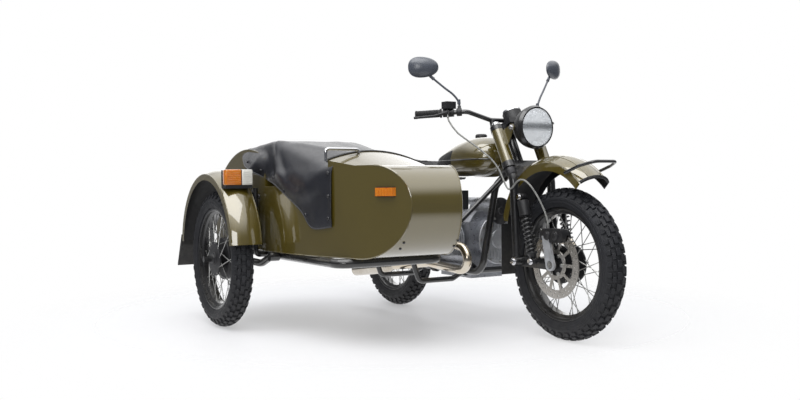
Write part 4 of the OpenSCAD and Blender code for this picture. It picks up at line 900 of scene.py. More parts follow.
def rounded_end(u, share):
    """Draws a form in to nothing at both ends, as a quarter round that takes this share of its length."""
    near = min(u, 1 - u)
    return math.sqrt(max(0.0, 1 - (1 - near / share) ** 2)) if near < share else 1.0


# %% Tank, seam, knee pads and cap
# x, half width, bottom, top
TANK = ((520, 70, 770, 812), (640, 128, 742, 880), (820, 150, 735, 930), (960, 142, 742, 928),
        (1052, 78, 790, 880))
# x and height of the frame's spine, which the tank straddles
SPINE = ((520, 737), (720, 806), (1052, 900))
SPINE_HALF, SPINE_ROOM = 30, 26
TANK_START, TANK_LONG = TANK[0][0], TANK[-1][0] - TANK[0][0]
TANK_CORNER, TANK_END, SEAM_HEIGHT = 0.74, 0.1, 822
TANK_CAP = [(0, 20), (21, 20), (25, 18.5), (29, 14), (30, 10), (30, 2), (34, 0), (35, -4), (35, -26),
            (0, -26)]


def tank_point(u, angle, lift=0.0):
    x = TANK_START + TANK_LONG * u
    half, low, high = (eased(TANK, x, column) for column in (1, 2, 3))
    end = rounded_end(u, TANK_END)
    across, rise = squared(math.cos(angle), TANK_CORNER), squared(math.sin(angle), TANK_CORNER)
    y = ((half - 3) * end + lift) * across * (1 - 0.13 * max(0.0, rise))
    z = (low + high) / 2 + ((high - low) / 2 * end + lift) * rise
    if rise < 0 and abs(y) < SPINE_HALF:
        z = max(z, eased(SPINE, x, 1) + SPINE_ROOM)
    return at(x, y, z)


def on_side(angle, side):
    """The angle itself on the left of the machine, and its mirror image on the right."""
    return angle if side > 0 else math.pi - angle


def pad_point(side):
    def point(u, v):
        edge = (1 - abs(2 * u - 1) ** 6) * (1 - abs(2 * v - 1) ** 6)
        angle = math.radians(-26 + 50 * v)
        return tank_point(0.13 + 0.36 * u, on_side(angle, side), 4.6 * edge - 1.2)
    return point


def seam_point(u, side):
    low, high = (eased(TANK, TANK_START + TANK_LONG * u, column) for column in (2, 3))
    share = (SEAM_HEIGHT - (low + high) / 2) / ((high - low) / 2 * rounded_end(u, TANK_END))
    angle = math.asin(squared(max(-0.95, min(0.95, share)), 1 / TANK_CORNER))
    return tank_point(u, on_side(angle, side), 0.4)


tank = close_up(wrapped(56, 72, lambda u, v: tank_point(u, math.tau * v)))
dress(tank, "pressed_fuel_tank", "chassis", olive_paint, ["fuel_tank"])
pads = face_outwards(merge([wrapped(28, 16, pad_point(side)) for side in (1, -1)]))
dress(pads, "tank_knee_pads", "chassis", soft_rubber)
seams = [tube([seam_point(0.05 + 0.91 * k / 24, side) for k in range(25)], 0.0034) for side in (1, -1)]
dress(merge(seams), "tank_seam", "chassis", black_paint)
cap = lathe(TANK_CAP, 48)
cap.location = at(840, 0, 933)
dress(cap, "tank_cap", "chassis", satin_black)
print("tank width", round(tank.dimensions.y, 3))

# %% [markdown]
# ## Bench seat
# A padded bench: foam under leatherette on a flat pan. The pad starts a little small as a wrapped
# grid, and cloth pressure blows it up against its pinned lower edge, so the sides bulge and pull
# in as stuffed covers do. The sewn piping and the pillion strap go on afterwards.

# %% Seat pad by cloth pressure
# x, half width, top
SEAT = ((-176, 104, 852), (-160, 120, 862), (20, 133, 857), (220, 130, 832), (430, 114, 830), (510, 84, 822))
SEAT_START, SEAT_LONG, SEAT_LOW = -170, 674, 757
SEAT_CORNER, SEAT_END, SEAT_DIP, SEAT_SLACK = 0.42, 0.05, 5, 5


def seat_point(u, angle):
    x = SEAT_START + SEAT_LONG * u
    half, high = (eased(SEAT, x, column) - SEAT_SLACK for column in (1, 2))
    end = rounded_end(u, SEAT_END)
    across, rise = squared(math.cos(angle), SEAT_CORNER), squared(math.sin(angle), SEAT_CORNER)
    dip = SEAT_DIP * max(0.0, rise) * (1 - across ** 2)
    y = half * across * (0.55 + 0.45 * end)
    z = (SEAT_LOW + high) / 2 + (high - SEAT_LOW) / 2 * rise * (0.3 + 0.7 * end) - dip
    return at(x, y, max(z, SEAT_LOW))


def blow_up(piece, pinned, pressure, cap):
    """Cloth pressure on a closed mesh, with the pinned points held and no point moved more than the cap."""
    before = [vertex.co.copy() for vertex in piece.data.vertices]
    group = piece.vertex_groups.new(name="held")
    group.add([i for i, co in enumerate(before) if pinned(co)], 1.0, "REPLACE")
    cloth = piece.modifiers.new("blow", "CLOTH")
    cloth.settings.vertex_group_mass = "held"
    cloth.settings.use_pressure = True
    cloth.settings.uniform_pressure_force = pressure
    cloth.settings.quality = 5
    cloth.settings.effector_weights.gravity = 0
    cloth.collision_settings.use_collision = False
    for number in range(1, 21):
        scene.frame_set(number)
    pick(piece)
    bpy.ops.object.modifier_apply(modifier=cloth.name)
    scene.frame_set(1)
    for vertex, start in zip(piece.data.vertices, before):
        move = vertex.co - start
        if move.length > cap:
            vertex.co = start + move * (cap / move.length)
    piece.vertex_groups.clear()


seat = close_up(wrapped(72, 56, lambda u, v: seat_point(u, math.tau * v)))
blow_up(seat, lambda co: co.z < (SEAT_LOW + 6) / 1000, 4.0, 0.009)
modify(seat, "SUBSURF", levels=1, render_levels=1)
dress(seat, "bench_seat_pad", "chassis", leatherette, ["bench_seat"], smooth=60)
print("seat top at", round(max(v.co.z for v in seat.data.vertices), 3))

# %% Piping and strap
seat_skin = skin_of(seat)
PIPING_LEAN = math.radians(19)


def on_seat(x, angle):
    """The point of the pad that an outward look from its middle meets."""
    start = at(x, 0, 800)
    hit = seat_skin.ray_cast(start, Vector((0, math.cos(angle), math.sin(angle))))[0]
    return hit if hit else start


piping = [tube([on_seat(x, on_side(PIPING_LEAN, side)) for x in range(-150, 490, 20)], 0.0032)
          for side in (1, -1)]
strap_line = [on_seat(196, math.radians(a)) + mm(0, 0, 2) for a in range(-8, 189, 7)]
strap = tube(strap_line, 0.0045, 8)
dress(merge(piping + [strap]), "seat_piping_and_strap", "chassis", soft_rubber)
print("piping and strap sewn on")

# %% [markdown]
# ## Tonneau cover
# Black vinyl stretched over the cockpit: it runs over the seat back as a ridge, drops to the cowl
# and hangs down the outer side as a flap. The sheet is a grid laid on the CAD cover by looking
# outwards from the cockpit's middle. Folds radiate from the corners of the ridge, where the vinyl
# is pulled tight, and the sheet then gets its thickness, a rolled hem and its fasteners.

# %% The lie of the sheet
COVER_START, COVER_LONG = 166, 864
COVER_Y, COVER_Z, COVER_HALF = -716, 640, 292
COVER_COLUMNS, COVER_ROWS = 84, 88
# x, lowest point of the cover's outer side
HANG = ((166, 850), (220, 812), (290, 777), (420, 742), (566, 706), (690, 655), (782, 606), (840, 562),
        (880, 505), (920, 487), (1030, 483))
# The inner side's lower edge above the cockpit's middle, which rises along the cowl
INNER_RISE, COWL_START, COWL_SLOPE = 66, 880, 0.5
SHORTEST_LOOK = 0.15
cover_skin = skin_of(NODES["sidecar_cover"])


def look_out(u, v):
    """From the cockpit's middle at u along it: the start, the way and the distance to the CAD cover."""
    x = COVER_START + COVER_LONG * u
    low = math.atan2(eased(HANG, x, 1) - COVER_Z, COVER_HALF)
    inner = math.pi - math.atan2(INNER_RISE + max(0, x - COWL_START) * COWL_SLOPE, COVER_HALF)
    angle = low + (inner - low) * v
    start = at(x, COVER_Y, COVER_Z)
    way = Vector((0, -math.cos(angle), math.sin(angle)))
    hit = cover_skin.ray_cast(start + way * 0.9, -way)[0]
    return start, way, (hit - start).length if hit else 0.0


def beside(i, j):
    return (i - 1, j), (i + 1, j), (i, j - 1), (i, j + 1)


def lay_cover():
    """Looks out from everywhere, fills the looks that met nothing from their neighbours, and evens all."""
    found = {(i, j): look_out(i / COVER_COLUMNS, j / COVER_ROWS)
             for i in range(COVER_COLUMNS + 1) for j in range(COVER_ROWS + 1)}
    reach = {spot: look[2] for spot, look in found.items()}
    for _ in range(60):
        for spot in [spot for spot, far in reach.items() if far < SHORTEST_LOOK]:
            near = [reach[k] for k in beside(*spot) if reach.get(k, 0) >= SHORTEST_LOOK]
            if near:
                reach[spot] = sum(near) / len(near)
    for _ in range(3):
        reach = {spot: (2 * far + sum(reach.get(k, far) for k in beside(*spot))) / 6
                 for spot, far in reach.items()}
    return {spot: (start, way, reach[spot]) for spot, (start, way, _) in found.items()}


laid = lay_cover()
print("cover laid at", len(laid), "points")

# %% Folds
# Each fold: its line in mm, its height and its half width
FOLDS = (
    (((500, -960, 912), (552, -1000, 830), (604, -1008, 772), (690, -1010, 706)), 17, 30),
    (((560, -1008, 800), (680, -1012, 690), (790, -1000, 650), (920, -966, 690), (1005, -925, 772)), 15, 38),
    (((500, -930, 915), (700, -860, 862), (900, -800, 846)), 10, 36),
    (((470, -620, 918), (700, -640, 872), (930, -660, 848)), 7, 40),
    (((180, -990, 884), (330, -1006, 800), (470, -1008, 752)), 10, 32),
    (((260, -960, 904), (420, -1000, 840), (540, -1008, 745)), 9, 28),
    (((900, -985, 650), (935, -970, 520)), 6, 26),
    (((985, -945, 720), (968, -958, 560)), 6, 24),
    (((500, -480, 912), (590, -432, 800), (680, -428, 716)), 13, 34),
    (((520, -500, 915), (740, -470, 800), (930, -480, 780)), 10, 40),
    (((300, -470, 880), (420, -436, 780)), 8, 32))
# The ridge's height along a fold, and the hollow beside it
HOLLOW_DEPTH, HOLLOW_OFF = 0.4, 1.9


def along_fold(line, point):
    """How far a point is from a fold's line, and at which share of its length."""
    off, share = 1e9, 0.0
    for k, (a, b) in enumerate((Vector(a), Vector(b)) for a, b in zip(line, line[1:])):
        t = min(max((point - a).dot(b - a) / (b - a).length_squared, 0), 1)
        gap = (point - a - (b - a) * t).length
        if gap < off:
            off, share = gap, (k + t) / (len(line) - 1)
    return off, share


def fold_lift(point):
    """How far, in mm, the folds push the sheet out at this point: a ridge with a hollow beside it."""
    lift = 0.0
    for line, height, width in FOLDS:
        off, share = along_fold(line, point)
        off /= width
        ridge = math.exp(-off ** 2) - HOLLOW_DEPTH * math.exp(-(off - HOLLOW_OFF) ** 2)
        lift += height * math.sin(math.pi * (0.1 + 0.8 * share)) * ridge
    return lift


def sheet_point(u, v):
    start, way, reach = laid[round(u * COVER_COLUMNS), round(v * COVER_ROWS)]
    base = start + way * reach
    lift = fold_lift(Vector((base.x * 1000 - GROUND_X, base.y * 1000 - GROUND_Y, base.z * 1000)))
    edge = min(1.0, 10 * min(u, 1 - u, v, 1 - v))
    return base + way * (0.0015 + max(-0.0008, lift * edge / 1000))


cover = face_outwards(wrapped(COVER_COLUMNS, COVER_ROWS, sheet_point))
edit(cover)
bpy.ops.mesh.vertices_smooth(factor=0.5, repeat=2)
leave()
# The looks run outwards, so a sheet whose faces point at the cockpit's middle is turned round
middle = at(COVER_START + COVER_LONG / 2, COVER_Y, COVER_Z)
if sum((p.center - middle).dot(p.normal) for p in cover.data.polygons) < 0:
    edit(cover)
    bpy.ops.mesh.flip_normals()
    leave()
print("cover cloth area", round(sum(p.area for p in cover.data.polygons), 3))

# %% Thickness, hem and fasteners
SNAP = [(0, 5), (3, 4.7), (6, 3.6), (8, 1.6), (8.6, 0), (8.6, -2), (0, -2)]
# Where the snaps sit: the share along the cover and the share across it
SNAPS = ((0.975, 0.05), (0.975, 0.17), (0.975, 0.30), (0.975, 0.45), (0.975, 0.60), (0.975, 0.75),
         (0.985, 0.9), (0.80, 0.022), (0.60, 0.022), (0.45, 0.03), (0.30, 0.03), (0.16, 0.03),
         (0.03, 0.2), (0.03, 0.5), (0.03, 0.8), (0.2, 0.972), (0.4, 0.972), (0.6, 0.972), (0.8, 0.972))
sheet_skin = skin_of(cover)
snaps = []
for u, v in SNAPS:
    start, way, reach = laid[round(u * COVER_COLUMNS), round(v * COVER_ROWS)]
    place, normal = sheet_skin.find_nearest(start + way * reach)[:2]
    snaps.append(turned(lathe(SNAP, 20), place + normal * 0.0022, normal))
snaps = dress(merge(snaps), "cover_snaps", "chassis", dark_alloy)

edit(cover, "DESELECT")
bpy.ops.mesh.select_mode(type="EDGE")
bpy.ops.mesh.select_non_manifold(extend=False, use_wire=False, use_boundary=True, use_multi_face=False,
                                 use_non_contiguous=False, use_verts=False)
bpy.ops.mesh.duplicate()
bpy.ops.mesh.separate(type="SELECTED")
leave()
hem = next(piece for piece in bpy.context.selected_objects if piece != cover)
pick(hem)
bpy.ops.object.convert(target="CURVE")
edge = bpy.context.object.data
edge.bevel_depth = 0.0034
edge.bevel_resolution = 2
bpy.ops.object.convert(target="MESH")
hem = dress(close_up(bpy.context.object), "cover_hem", "chassis", vinyl)
modify(cover, "SOLIDIFY", thickness=0.0016, offset=1.0)
dress(cover, "tonneau_cover", "chassis", vinyl, ["sidecar_cover"], smooth=70)
print("cover with", len(SNAPS), "snaps")

# %% [markdown]
# ## Mirrors
# Egg-shaped shells on bent stems, with the glass set back behind a lip. A shell is a wrapped
# grid: rings of one oval that shrink towards the deep middle of its back. The right mirror is
# worked out first, and the left one mirrors it, a little higher.

# %% The mirrors' oval and frame
BAR_END, BAR_WAY = Vector((852, -400, 1035)), Vector((163, 188, 11)).normalized()
# Rings of the shell from the back's middle round the lip: the oval's share and the depth
SHELL = ((0, 26), (0.2, 25.4), (0.4, 23.4), (0.58, 20), (0.74, 15.4), (0.87, 9.6), (0.95, 4), (0.995, -2),
         (1.0, -5), (0.985, -8), (0.955, -8.2), (0.945, -6), (0.94, -4))
MIRROR_FACE, MIRROR_LEAN, LEFT_HIGHER = Vector((930, -401.9, 1256)), math.radians(-25), 36
OVAL_WIDE, OVAL_HIGH, OVAL_CORNER = 73, 49, 0.86
STEM_OFF_BAR = 212
CLAMP_RING = [(11.4, -12), (18, -12), (19, -10.5), (19, 10.5), (18, 12), (11.4, 12)]


def mirrored(point, side):
    return at(point[0], point[1] if side < 0 else -point[1], point[2])


def bar_way(side):
    return BAR_WAY if side < 0 else Vector((BAR_WAY.x, -BAR_WAY.y, BAR_WAY.z))


def oval(turn, share):
    """A point of the mirror's oval: its low inner end is narrower, like an egg."""
    y, z = OVAL_WIDE * squared(math.cos(turn), OVAL_CORNER), OVAL_HIGH * squared(math.sin(turn), OVAL_CORNER)
    return share * y, share * z * (1 - 0.14 * y / OVAL_WIDE)


def mirror_frame(face, side):
    """Turns depth, width and height on a mirror's own face into a frame point."""
    cos, sin = math.cos(MIRROR_LEAN), math.sin(MIRROR_LEAN)

    def spot(x, y, z):
        return mirrored((face.x + x * cos - y * sin, face.y + x * sin + y * cos, face.z + z), side)
    return spot


# %% Mirror shells, glass and stems
def mirror(side):
    face = MIRROR_FACE + Vector((0, 0, LEFT_HIGHER if side > 0 else 0))
    spot = mirror_frame(face, side)
    rings = len(SHELL) - 1

    def shell_point(u, v):
        share, depth = SHELL[round(v * rings)]
        return spot(depth, *oval(math.tau * u, share))
    shell = close_up(wrapped(40, rings, shell_point))
    glass = close_up(wrapped(40, 6, lambda u, v: spot(-6.6 + 1.2 * v * v, *oval(math.tau * u, 0.948 * v))))
    root = BAR_END + BAR_WAY * STEM_OFF_BAR
    knee, stem_end = root + Vector((0, -4, 60)), face + Vector((4, 30, -38))

    def above_root(y, z):
        return mirrored(root + Vector((0, y, z)), side)

    def up_stem(share):
        return mirrored(knee + (stem_end - knee) * share, side)
    stem = tube([above_root(0, 14), above_root(-1, 40), up_stem(0.12), up_stem(0.5), up_stem(1)], 0.0052, 12)
    boot = bar(up_stem(0.84), up_stem(1), 0.0085, 16, 0.0065)
    joint = bar(above_root(-1, 36), above_root(-2.6, 60), 0.0082, 16)
    nut = bar(above_root(0, 12), above_root(-0.4, 30), 0.0095, 6)
    clamp = turned(lathe(CLAMP_RING, 32, closed=True), above_root(0, 0), bar_way(side))
    return [coat(piece, mirror_shell) for piece in (shell, stem, boot, joint)] + [
        coat(clamp, satin_black), coat(glass, mirror_face), coat(nut, bright_steel)]


dress(merge(mirror(-1) + mirror(1)), "rear_view_mirrors", "steering", None, ["mirrors"])
print("mirrors reach", round(max(v.co.z for v in bpy.context.object.data.vertices), 3), "m high")

# %% [markdown]
# ## Lamps
# The headlight's glass is domed in front and fluted behind, over the bright reflector with its
# bulb. The fender lamp has an amber and a clear lens side by side, the marker a ribbed amber one in
# a thin bezel, and the tail lamp a red one. Each lens is a bevelled box with moulded ribs across it.

# %% Headlight glass and bulb
low, high = (Vector(corner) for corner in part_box("headlight_lens"))
lamp_y, lamp_z = (low.y + high.y) / 2, (low.z + high.z) / 2
lens_r = (high.y - low.y) / 2
DOME, GLASS_THICK, FLUTE_DEPTH, FLUTE_WIDE = 0.52, 0.0042, 0.0012, 0.008
BULB_SHADE = [(0, 14), (6, 13), (10, 8), (11, 0), (11, -22), (0, -22)]


def lens_point(u, v):
    """The front face from its middle to the rim, then the fluted back face from the rim to its middle."""
    front = v <= 0.5
    share = 2 * v if front else 2 - 2 * v
    y, z = lens_r * share * math.cos(math.tau * u), lens_r * share * math.sin(math.tau * u)
    sag = (y * y + z * z) / DOME
    flute = FLUTE_DEPTH * abs(math.sin(math.pi * y / FLUTE_WIDE)) * min(1.0, 6 * (1 - share))
    depth = 0.0 if front else GLASS_THICK * min(1.0, 4 * (1 - share)) + flute
    return Vector((high.x - sag - depth, lamp_y + y, lamp_z + z))


headlight_glass = close_up(wrapped(96, 48, lens_point))
dress(headlight_glass, "headlight_glass", "steering", lamp_glass, ["headlight_lens"])
bulb_shade = turned(lathe(BULB_SHADE, 24), (high.x - 0.045, lamp_y, lamp_z), (1, 0, 0))
dress(bulb_shade, "headlight_bulb_shade", "steering", chrome)
print("headlight glass", round(2 * lens_r, 3), "m across")

# %% Fender lamp and tail lamp
RIB_STEP = 0.0085


def ribs_across(x, start, end, lowest, count, radius):
    """Moulded ribs that run across a lens at x, one above the other."""
    heights = [lowest + RIB_STEP * k for k in range(count)]
    return [bar((x, start, z), (x, end, z), radius) for z in heights]


low, high = (Vector(corner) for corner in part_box("fender_lamp"))
split_y = low.y + 0.6 * (high.y - low.y)
lenses = []
for start, end, paint in ((low.y - 0.003, split_y - 0.001, amber_lens),
                          (split_y + 0.001, high.y + 0.003, clear_lens)):
    block = bevelled_box((high.x - 0.036, start, low.z + 0.016), (high.x + 0.004, end, high.z + 0.003), 0.006)
    ribs = ribs_across(high.x + 0.004, start + 0.006, end - 0.006, low.z + 0.026, 7, 0.0016)
    lenses += [coat(piece, paint) for piece in [block] + ribs]
dress(merge(lenses), "fender_lamp_lenses", "chassis")
low, high = (Vector(corner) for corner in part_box("tail_lamp"))
block = bevelled_box((low.x - 0.0006, low.y + 0.006, low.z + 0.008),
                     (low.x + 0.03, high.y - 0.006, high.z - 0.006), 0.006)
ribs = ribs_across(low.x, low.y + 0.012, high.y - 0.012, low.z + 0.018, 6, 0.0012)
dress(merge([block] + ribs), "tail_lamp_lens", "chassis", red_lens)
print("fender and tail lamps ribbed")

# %% Marker lamp and its bezel
MARKER_OUT = Vector((0.46, -0.888, 0))
MARKER_ALONG = Vector((-MARKER_OUT.y, MARKER_OUT.x, 0))


def copy_of(node):
    """A loose copy of a CAD solid's mesh, merged so that it can be worked on."""
    piece = add_object("copy", NODES[node].data.copy())
    piece.matrix_world = NODES[node].matrix_world
    return close_up(settle(piece))


low, high = (Vector(corner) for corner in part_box("marker_lamp"))
middle = (low + high) / 2
bezel = copy_of("marker_lamp")
edit(bezel)
bpy.ops.transform.resize(value=(1.07, 1.0, 1.2), center_override=middle)
bpy.ops.transform.translate(value=-MARKER_OUT * 0.007)
leave()
dress(bezel, "marker_lamp_bezel", "chassis", satin_black)
ribs = []
for k in range(-2, 3):
    rib = middle + MARKER_ALONG * 0.014 * k + MARKER_OUT * 0.0082
    ribs.append(bar(rib - mm(0, 0, 14), rib + mm(0, 0, 14), 0.0022))
dress(merge(ribs), "marker_lamp_ribs", "chassis", amber_lens)
print("marker lamp has", len(ribs), "ribs")

# %% [markdown]
# ## Edges and beads
# Pressed fenders end in a rolled edge, and a bead runs along their crown. The lines are found by
# looking from outside at the CAD fender, so they lie on it. The sidecar's nose has a welded flange
# where its wrapped front meets the flat sides.

# %% Rolled edges and beads
# Each fender: its body, the centre of its arc, the arc's first and last angle and its half width
FENDERS = {"front_fender": ("steering", (1427, 0, 484), (46, 170), 84),
           "rear_fender": ("chassis", (-6, 0, 354), (30, 184), 84),
           "sidecar_fender": ("chassis", (170, -1146, 385), (8, 174), 76)}


def over_fender(skin, centre, across, angle):
    """The point of a fender's outer face at this angle round its centre and this far across it, in mm."""
    a = math.radians(angle)
    out = Vector((math.cos(a), 0, math.sin(a)))
    start = at(centre[0], centre[1] + across, centre[2])
    return skin.ray_cast(start + out * 0.6, -out)[0]


def bead(skin, centre, across, first, last, radius):
    points = [over_fender(skin, centre, across, first + (last - first) * k / 40) for k in range(41)]
    return tube([p for p in points if p], radius, 8)


for name, (body, centre, (first, last), half) in FENDERS.items():
    skin = skin_of(NODES[name])
    lines = [bead(skin, centre, side * (half - 2.6), first, last, 0.0032) for side in SIDES]
    if name == "front_fender":
        lines += [bead(skin, centre, side * 44, first, 140, 0.0026) for side in SIDES]
    dress(merge(lines), name + "_beads", body, olive_paint)
    print(name, "has", len(lines), "beads")
body, centre, (first, last), half = FENDERS["front_fender"]
skin = skin_of(NODES["front_fender"])
tip = [over_fender(skin, centre, y, first - 1) for y in range(-80, 81, 10)]
dress(tube([p for p in tip if p], 0.0075, 12), "front_fender_tip", body, soft_rubber)

# %% Flanges of the sidecar's nose
# The nose's section in the side view: an upper and a lower arc, then the flat floor
NOSE_TOP_X, NOSE_TOP_R, NOSE_LOW_X, NOSE_LOW_R, NOSE_Z, FLOOR_Z = 1239, 165, 1173, 231, 618, 388
# Each side in plan: where it starts to curve in, its radius, its place and the way it curves
OUTER_SIDE, INNER_SIDE = (550, 1639, -1008, 1), (800, 1968, -425, -1)


def side_of_body(x, start, radius, y, way):
    return y + way * (radius - math.sqrt(radius ** 2 - max(0, x - start) ** 2))


def round_nose(x, radius, angle):
    a = math.radians(angle)
    return x + radius * math.cos(a), NOSE_Z + radius * math.sin(a)


outline = [round_nose(NOSE_TOP_X, NOSE_TOP_R, a) for a in range(88, -1, -8)]
outline += [round_nose(NOSE_LOW_X, NOSE_LOW_R, -a) for a in range(8, 89, 8)]
outline += [(x, FLOOR_Z) for x in (1120, 1000, 850, 700, 500, 300, 100)]
flanges = []
for side in (OUTER_SIDE, INNER_SIDE):
    flanges.append(tube([at(x, side_of_body(x, *side), z) for x, z in outline], 0.0028, 8))
dress(merge(flanges), "sidecar_flanges", "chassis", olive_paint)
print("flanges have", len(outline), "points each")

# %% [markdown]
# Inside, the fenders are painted dull black as painted shade, for the shadow that lies under them.
# It goes on the faces of the CAD solids that look at the wheel, or across the fender at its far wall.

# %% Painted shade in the fenders
FACING_IN = -0.3
for name in FENDERS:
    # Painted shade: the faces inside the fender take the second finish, satin black
    solid = coat(NODES[name], olive_paint, satin_black)
    axle = AXLES[name.replace("fender", "wheel")]
    for face in solid.data.polygons:
        away = solid.matrix_world @ face.center - axle
        facing = solid.matrix_world.to_3x3() @ face.normal
        radial = (facing.x * away.x + facing.z * away.z) / math.hypot(away.x, away.z)
        inward = radial < FACING_IN or facing.y * math.copysign(1, away.y) < FACING_IN
        face.material_index = 1 if inward else 0
print("painted_shade in", list(FENDERS))

# %% [markdown]
# ## Bolts and fittings
# One hexagon bolt with its washer is modelled at the origin, and copies of it, each with its own
# mesh, go to the places where the machine is bolted together. They are joined body by body.

# %% Bolts
clear_selection()
bpy.ops.mesh.primitive_cylinder_add(vertices=6, radius=1.0, depth=0.7, location=(0, 0, 0.5))
head = bpy.context.object
edit(head)
bpy.ops.mesh.bevel(offset=0.08, segments=1)
leave()
washer = lathe([(0, 180), (1180, 180), (1300, 120), (1300, -40), (0, -40)], 16)
model_bolt = merge([settle(head), washer])


def bolt(place, way, radius):
    """A copy of the bolt; its radius, in mm, is across the hexagon's corners."""
    piece = add_object("bolt", model_bolt.data.copy())
    piece.scale = (radius / 1000,) * 3
    return turned(piece, at(*place), way)


def ring_of(centre, radius, count, turn=0.0):
    """Places on a circle that faces along X."""
    return [(centre[0], centre[1] + radius * math.cos(math.tau * (k + turn) / count),
             centre[2] + radius * math.sin(math.tau * (k + turn) / count)) for k in range(count)]


FORK_UP = (-0.454, 0, 0.891)
TIMING_COVER, GENERATOR = (983.5, 0, 430), (994.5, 0, 568)
fork_bolts = [bolt((x, s * y, z), (0, s, 0), r) for s in SIDES for x, y, z, r in (
    (1302, 131, 640, 12), (1378, 131, 352, 12), (1262, 134, 345, 14), (1217, 106, 961, 11))]
fork_bolts += [bolt((1108.6, s * 112, 975), FORK_UP, 17) for s in SIDES]
dress(merge(fork_bolts), "fork_bolts", "steering", chrome)
cover_ring = ring_of(TIMING_COVER, 114, 12) + ring_of(GENERATOR, 54, 4, 0.5)
engine_bolts = [bolt(spot, (1, 0, 0), 6.5) for spot in cover_ring]
for s, x in ((-1, 830), (1, 870)):
    engine_bolts += [bolt((x + dx, s * 398, 430 + dz), (0, s, 0), 6.5) for dx, dz in (
        (-48, -34), (48, -34), (-48, 34), (48, 34), (0, 0))]
dress(merge(engine_bolts), "engine_bolts", "chassis", bright_steel)
body_bolts = []
for angle in (43, 53):
    x, z = round_nose(NOSE_LOW_X, NOSE_LOW_R, -angle)
    out = (math.cos(math.radians(angle)), 0, -math.sin(math.radians(angle)))
    body_bolts += [bolt((x, y, z), out, 5) for y in (-770, -500)]
for s in SIDES:
    body_bolts += [bolt((56, s * 167, 741), (0, s, 0), 12), bolt((40, s * 167, 350), (0, s, 0), 12)]
    body_bolts.append(bolt((-465.5, s * 75, 460), (-1, 0, 0), 5))
dress(merge(body_bolts), "body_bolts", "chassis", dark_alloy)
disc_bolts = []
for k in range(6):
    a = math.tau * k / 6
    disc_bolts.append(bolt((1470 + 44 * math.cos(a), -69, 340 + 44 * math.sin(a)), (0, -1, 0), 7))
dress(merge(disc_bolts), "disc_bolts", "front_wheel", bright_steel)
bpy.data.objects.remove(model_bolt)
hub_cap = lathe([(0, 14), (10, 13), (18, 10), (24, 4), (26, 0), (26, -4), (0, -4)], 32)
dress(turned(hub_cap, at(200, -1193, 340), (0, -1, 0)), "sidecar_hub_cap", "sidecar_wheel", satin_black)
print("bolts in place")

# %% [markdown]
# ## Engine and brake
# The casting under the tank gets what a crankcase shows: a rimmed, ribbed timing cover and the
# generator's end cap. The ribs are bevelled bars that stop at the cover's round rim and at the boss
# in its middle. The brake caliper is black with two bosses on a bare alloy arm.

# %% Timing cover, generator cap and caliper
COVER_RIM = [(0, 9), (34, 9), (46, 6), (50, 0.5), (102, 0.5), (105, 5), (122, 5), (124, 3), (124, -3),
             (0, -3)]
END_CAP = [(0, 9), (16, 9), (20, 5), (40, 5), (44, 3), (62, 3), (66, 0), (66, -3), (0, -3)]
BOSS = [(0, 9), (12, 9), (14, 7), (19, 6), (21, 3), (21, -2), (0, -2)]
COVER_Z_MIDDLE, RIB_REACH, BOSS_HALF, BOSS_CLEAR = 430, 102, 50, 54
CALIPER_SPLIT = 0.437

cover_trim = [turned(lathe(COVER_RIM), at(982, 0, COVER_Z_MIDDLE), (1, 0, 0))]
for y in range(-90, 91, 20):
    reach = math.sqrt(RIB_REACH ** 2 - y ** 2)
    runs = [(-reach, reach)] if abs(y) > BOSS_HALF else [(-reach, -BOSS_CLEAR), (BOSS_CLEAR, reach)]
    for low, high in runs:
        ends = at(981, y - 3, COVER_Z_MIDDLE + low), at(988, y + 3, COVER_Z_MIDDLE + high)
        cover_trim.append(bevelled_box(*ends, 0.0012))
end_cap = coat(turned(lathe(END_CAP, 48), at(994, 0, 568), (1, 0, 0)), dark_alloy)
dress(merge([coat(piece, cast_alloy) for piece in cover_trim] + [end_cap]), "timing_cover_trim", "chassis")

caliper = coat(NODES["front_caliper"], cast_alloy, satin_black)
for face in caliper.data.polygons:
    face.material_index = 1 if face.center.z > CALIPER_SPLIT else 0
bosses = [turned(lathe(BOSS, 32), at(x, -98, 470), (0, -1, 0)) for x in (1452, 1504)]
dress(merge(bosses), "caliper_bosses", "steering", satin_black)
print("timing cover has", len(cover_trim) - 1, "ribs")

# %% [markdown]
# ## Controls
# The grips are ribbed rubber, spun from a profile that steps in and out. The instrument has a plain
# dial with a needle under a bright ring. A cast collar closes each fork tube below its cover.

# %% Grips, dial and fork collars
GRIP = [(0, 0), (17, 0), (20, 2), (20, 8), (17.6, 10)]
GRIP += [(17.6 if k % 2 else 19.4, 14 + 3.4 * k) for k in range(30)]
GRIP += [(17.6, 118), (22, 120), (22, 127), (20, 128), (11.4, 128)]
DIAL_RING = [(38, 5), (43, 5), (46, 3), (47, 0), (47, -8), (44, -8), (38, 1)]
DIAL_FACE = [(0, 1.2), (39, 1.2), (39, -3), (0, -3)]
COLLAR = [(20.6, 0), (25, 0), (26, 3), (26, 28), (24, 34), (20.6, 36)]
FORK_DOWN = -Vector(FORK_UP)

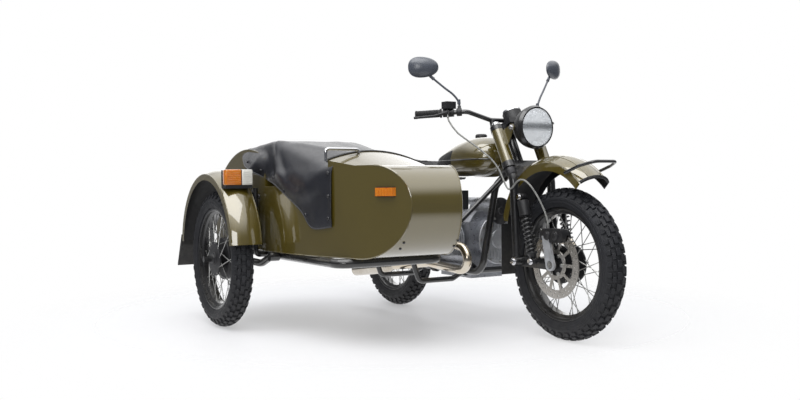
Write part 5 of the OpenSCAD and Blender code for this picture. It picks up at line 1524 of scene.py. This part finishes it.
grips = [turned(lathe(GRIP, 40), mirrored(BAR_END, side), bar_way(side)) for side in SIDES]
dress(merge(grips), "ribbed_grips", "steering", soft_rubber, ["grips"], smooth=25)
needle = bevelled_box(mm(-1.2, -6, 1.2), mm(1.2, 30, 2.6), 0.0004)
dial = [coat(turned(piece, at(1083.8, 0, 1046.9), FORK_UP), paint) for piece, paint in (
    (lathe(DIAL_RING, 48, closed=True), chrome), (lathe(DIAL_FACE, 40), satin_black), (needle, red_lens))]
dress(merge(dial), "instrument_dial", "steering")
collars = [turned(lathe(COLLAR, 40, closed=True), at(1210.8, side * 112, 772), FORK_DOWN) for side in SIDES]
dress(merge(collars), "fork_collars", "steering", dark_alloy)
print("grips, dial and collars fitted")

# %% [markdown]
# ## Brake hose
# A stiff hydraulic hose runs from the lever's cylinder down to the caliper. It keeps the route that
# CAD gives it, with one more point between each two so that it bends smoothly, and a crimped
# fitting closes each end. Both its ends turn with the fork, so it rides there as one piece.

# %% Hose and fittings
HOSE = ((979, -299, 1031), (985, -297, 1001), (1025, -272, 940), (1085, -225, 885), (1152, -178, 820),
        (1194, -158, 760), (1222, -152, 705), (1248, -150, 675), (1280, -150, 685), (1315, -150, 712),
        (1355, -146, 716), (1392, -134, 685), (1420, -114, 630), (1436, -96, 575), (1444, -86, 530),
        (1446, -86, 500.5))
FITTINGS = ((HOSE[-1], (1445.4, -86, 520)), (HOSE[0], (981.4, -298.2, 1017)))


def halved(points):
    """The points with one more between each two, on the smooth curve that passes through them all."""
    made = []
    for k in range(len(points) - 1):
        before, after = points[max(k - 1, 0)], points[min(k + 2, len(points) - 1)]
        made += [points[k], (points[k] + points[k + 1]) * 0.5625 - (before + after) * 0.0625]
    return made + [points[-1]]


route = halved([at(*spot) for spot in HOSE])
hose = dress(tube(route, 0.004, 12, smooth=False), "smooth_brake_hose", "steering", grey_hose, ["brake_hose"])
ends = [bar(at(*end), at(*inner), 0.0062, 12) for end, inner in FITTINGS]
fittings = dress(merge(ends), "hose_fittings", "steering", bright_steel)
print("hose route", round(sum((b - a).length for a, b in zip(route, route[1:])), 3), "m")

# %% [markdown]
# ## Plate
# The bracket behind the rear fender carries a bare plate with softened edges.

# %% Blank plate
plate = bevelled_box(at(-468.6, -94, 404), at(-464.5, 94, 496), 0.0012)
dress(plate, "blank_plate", "chassis", clear_lens)
print("plate is", [round(side, 3) for side in plate.dimensions])
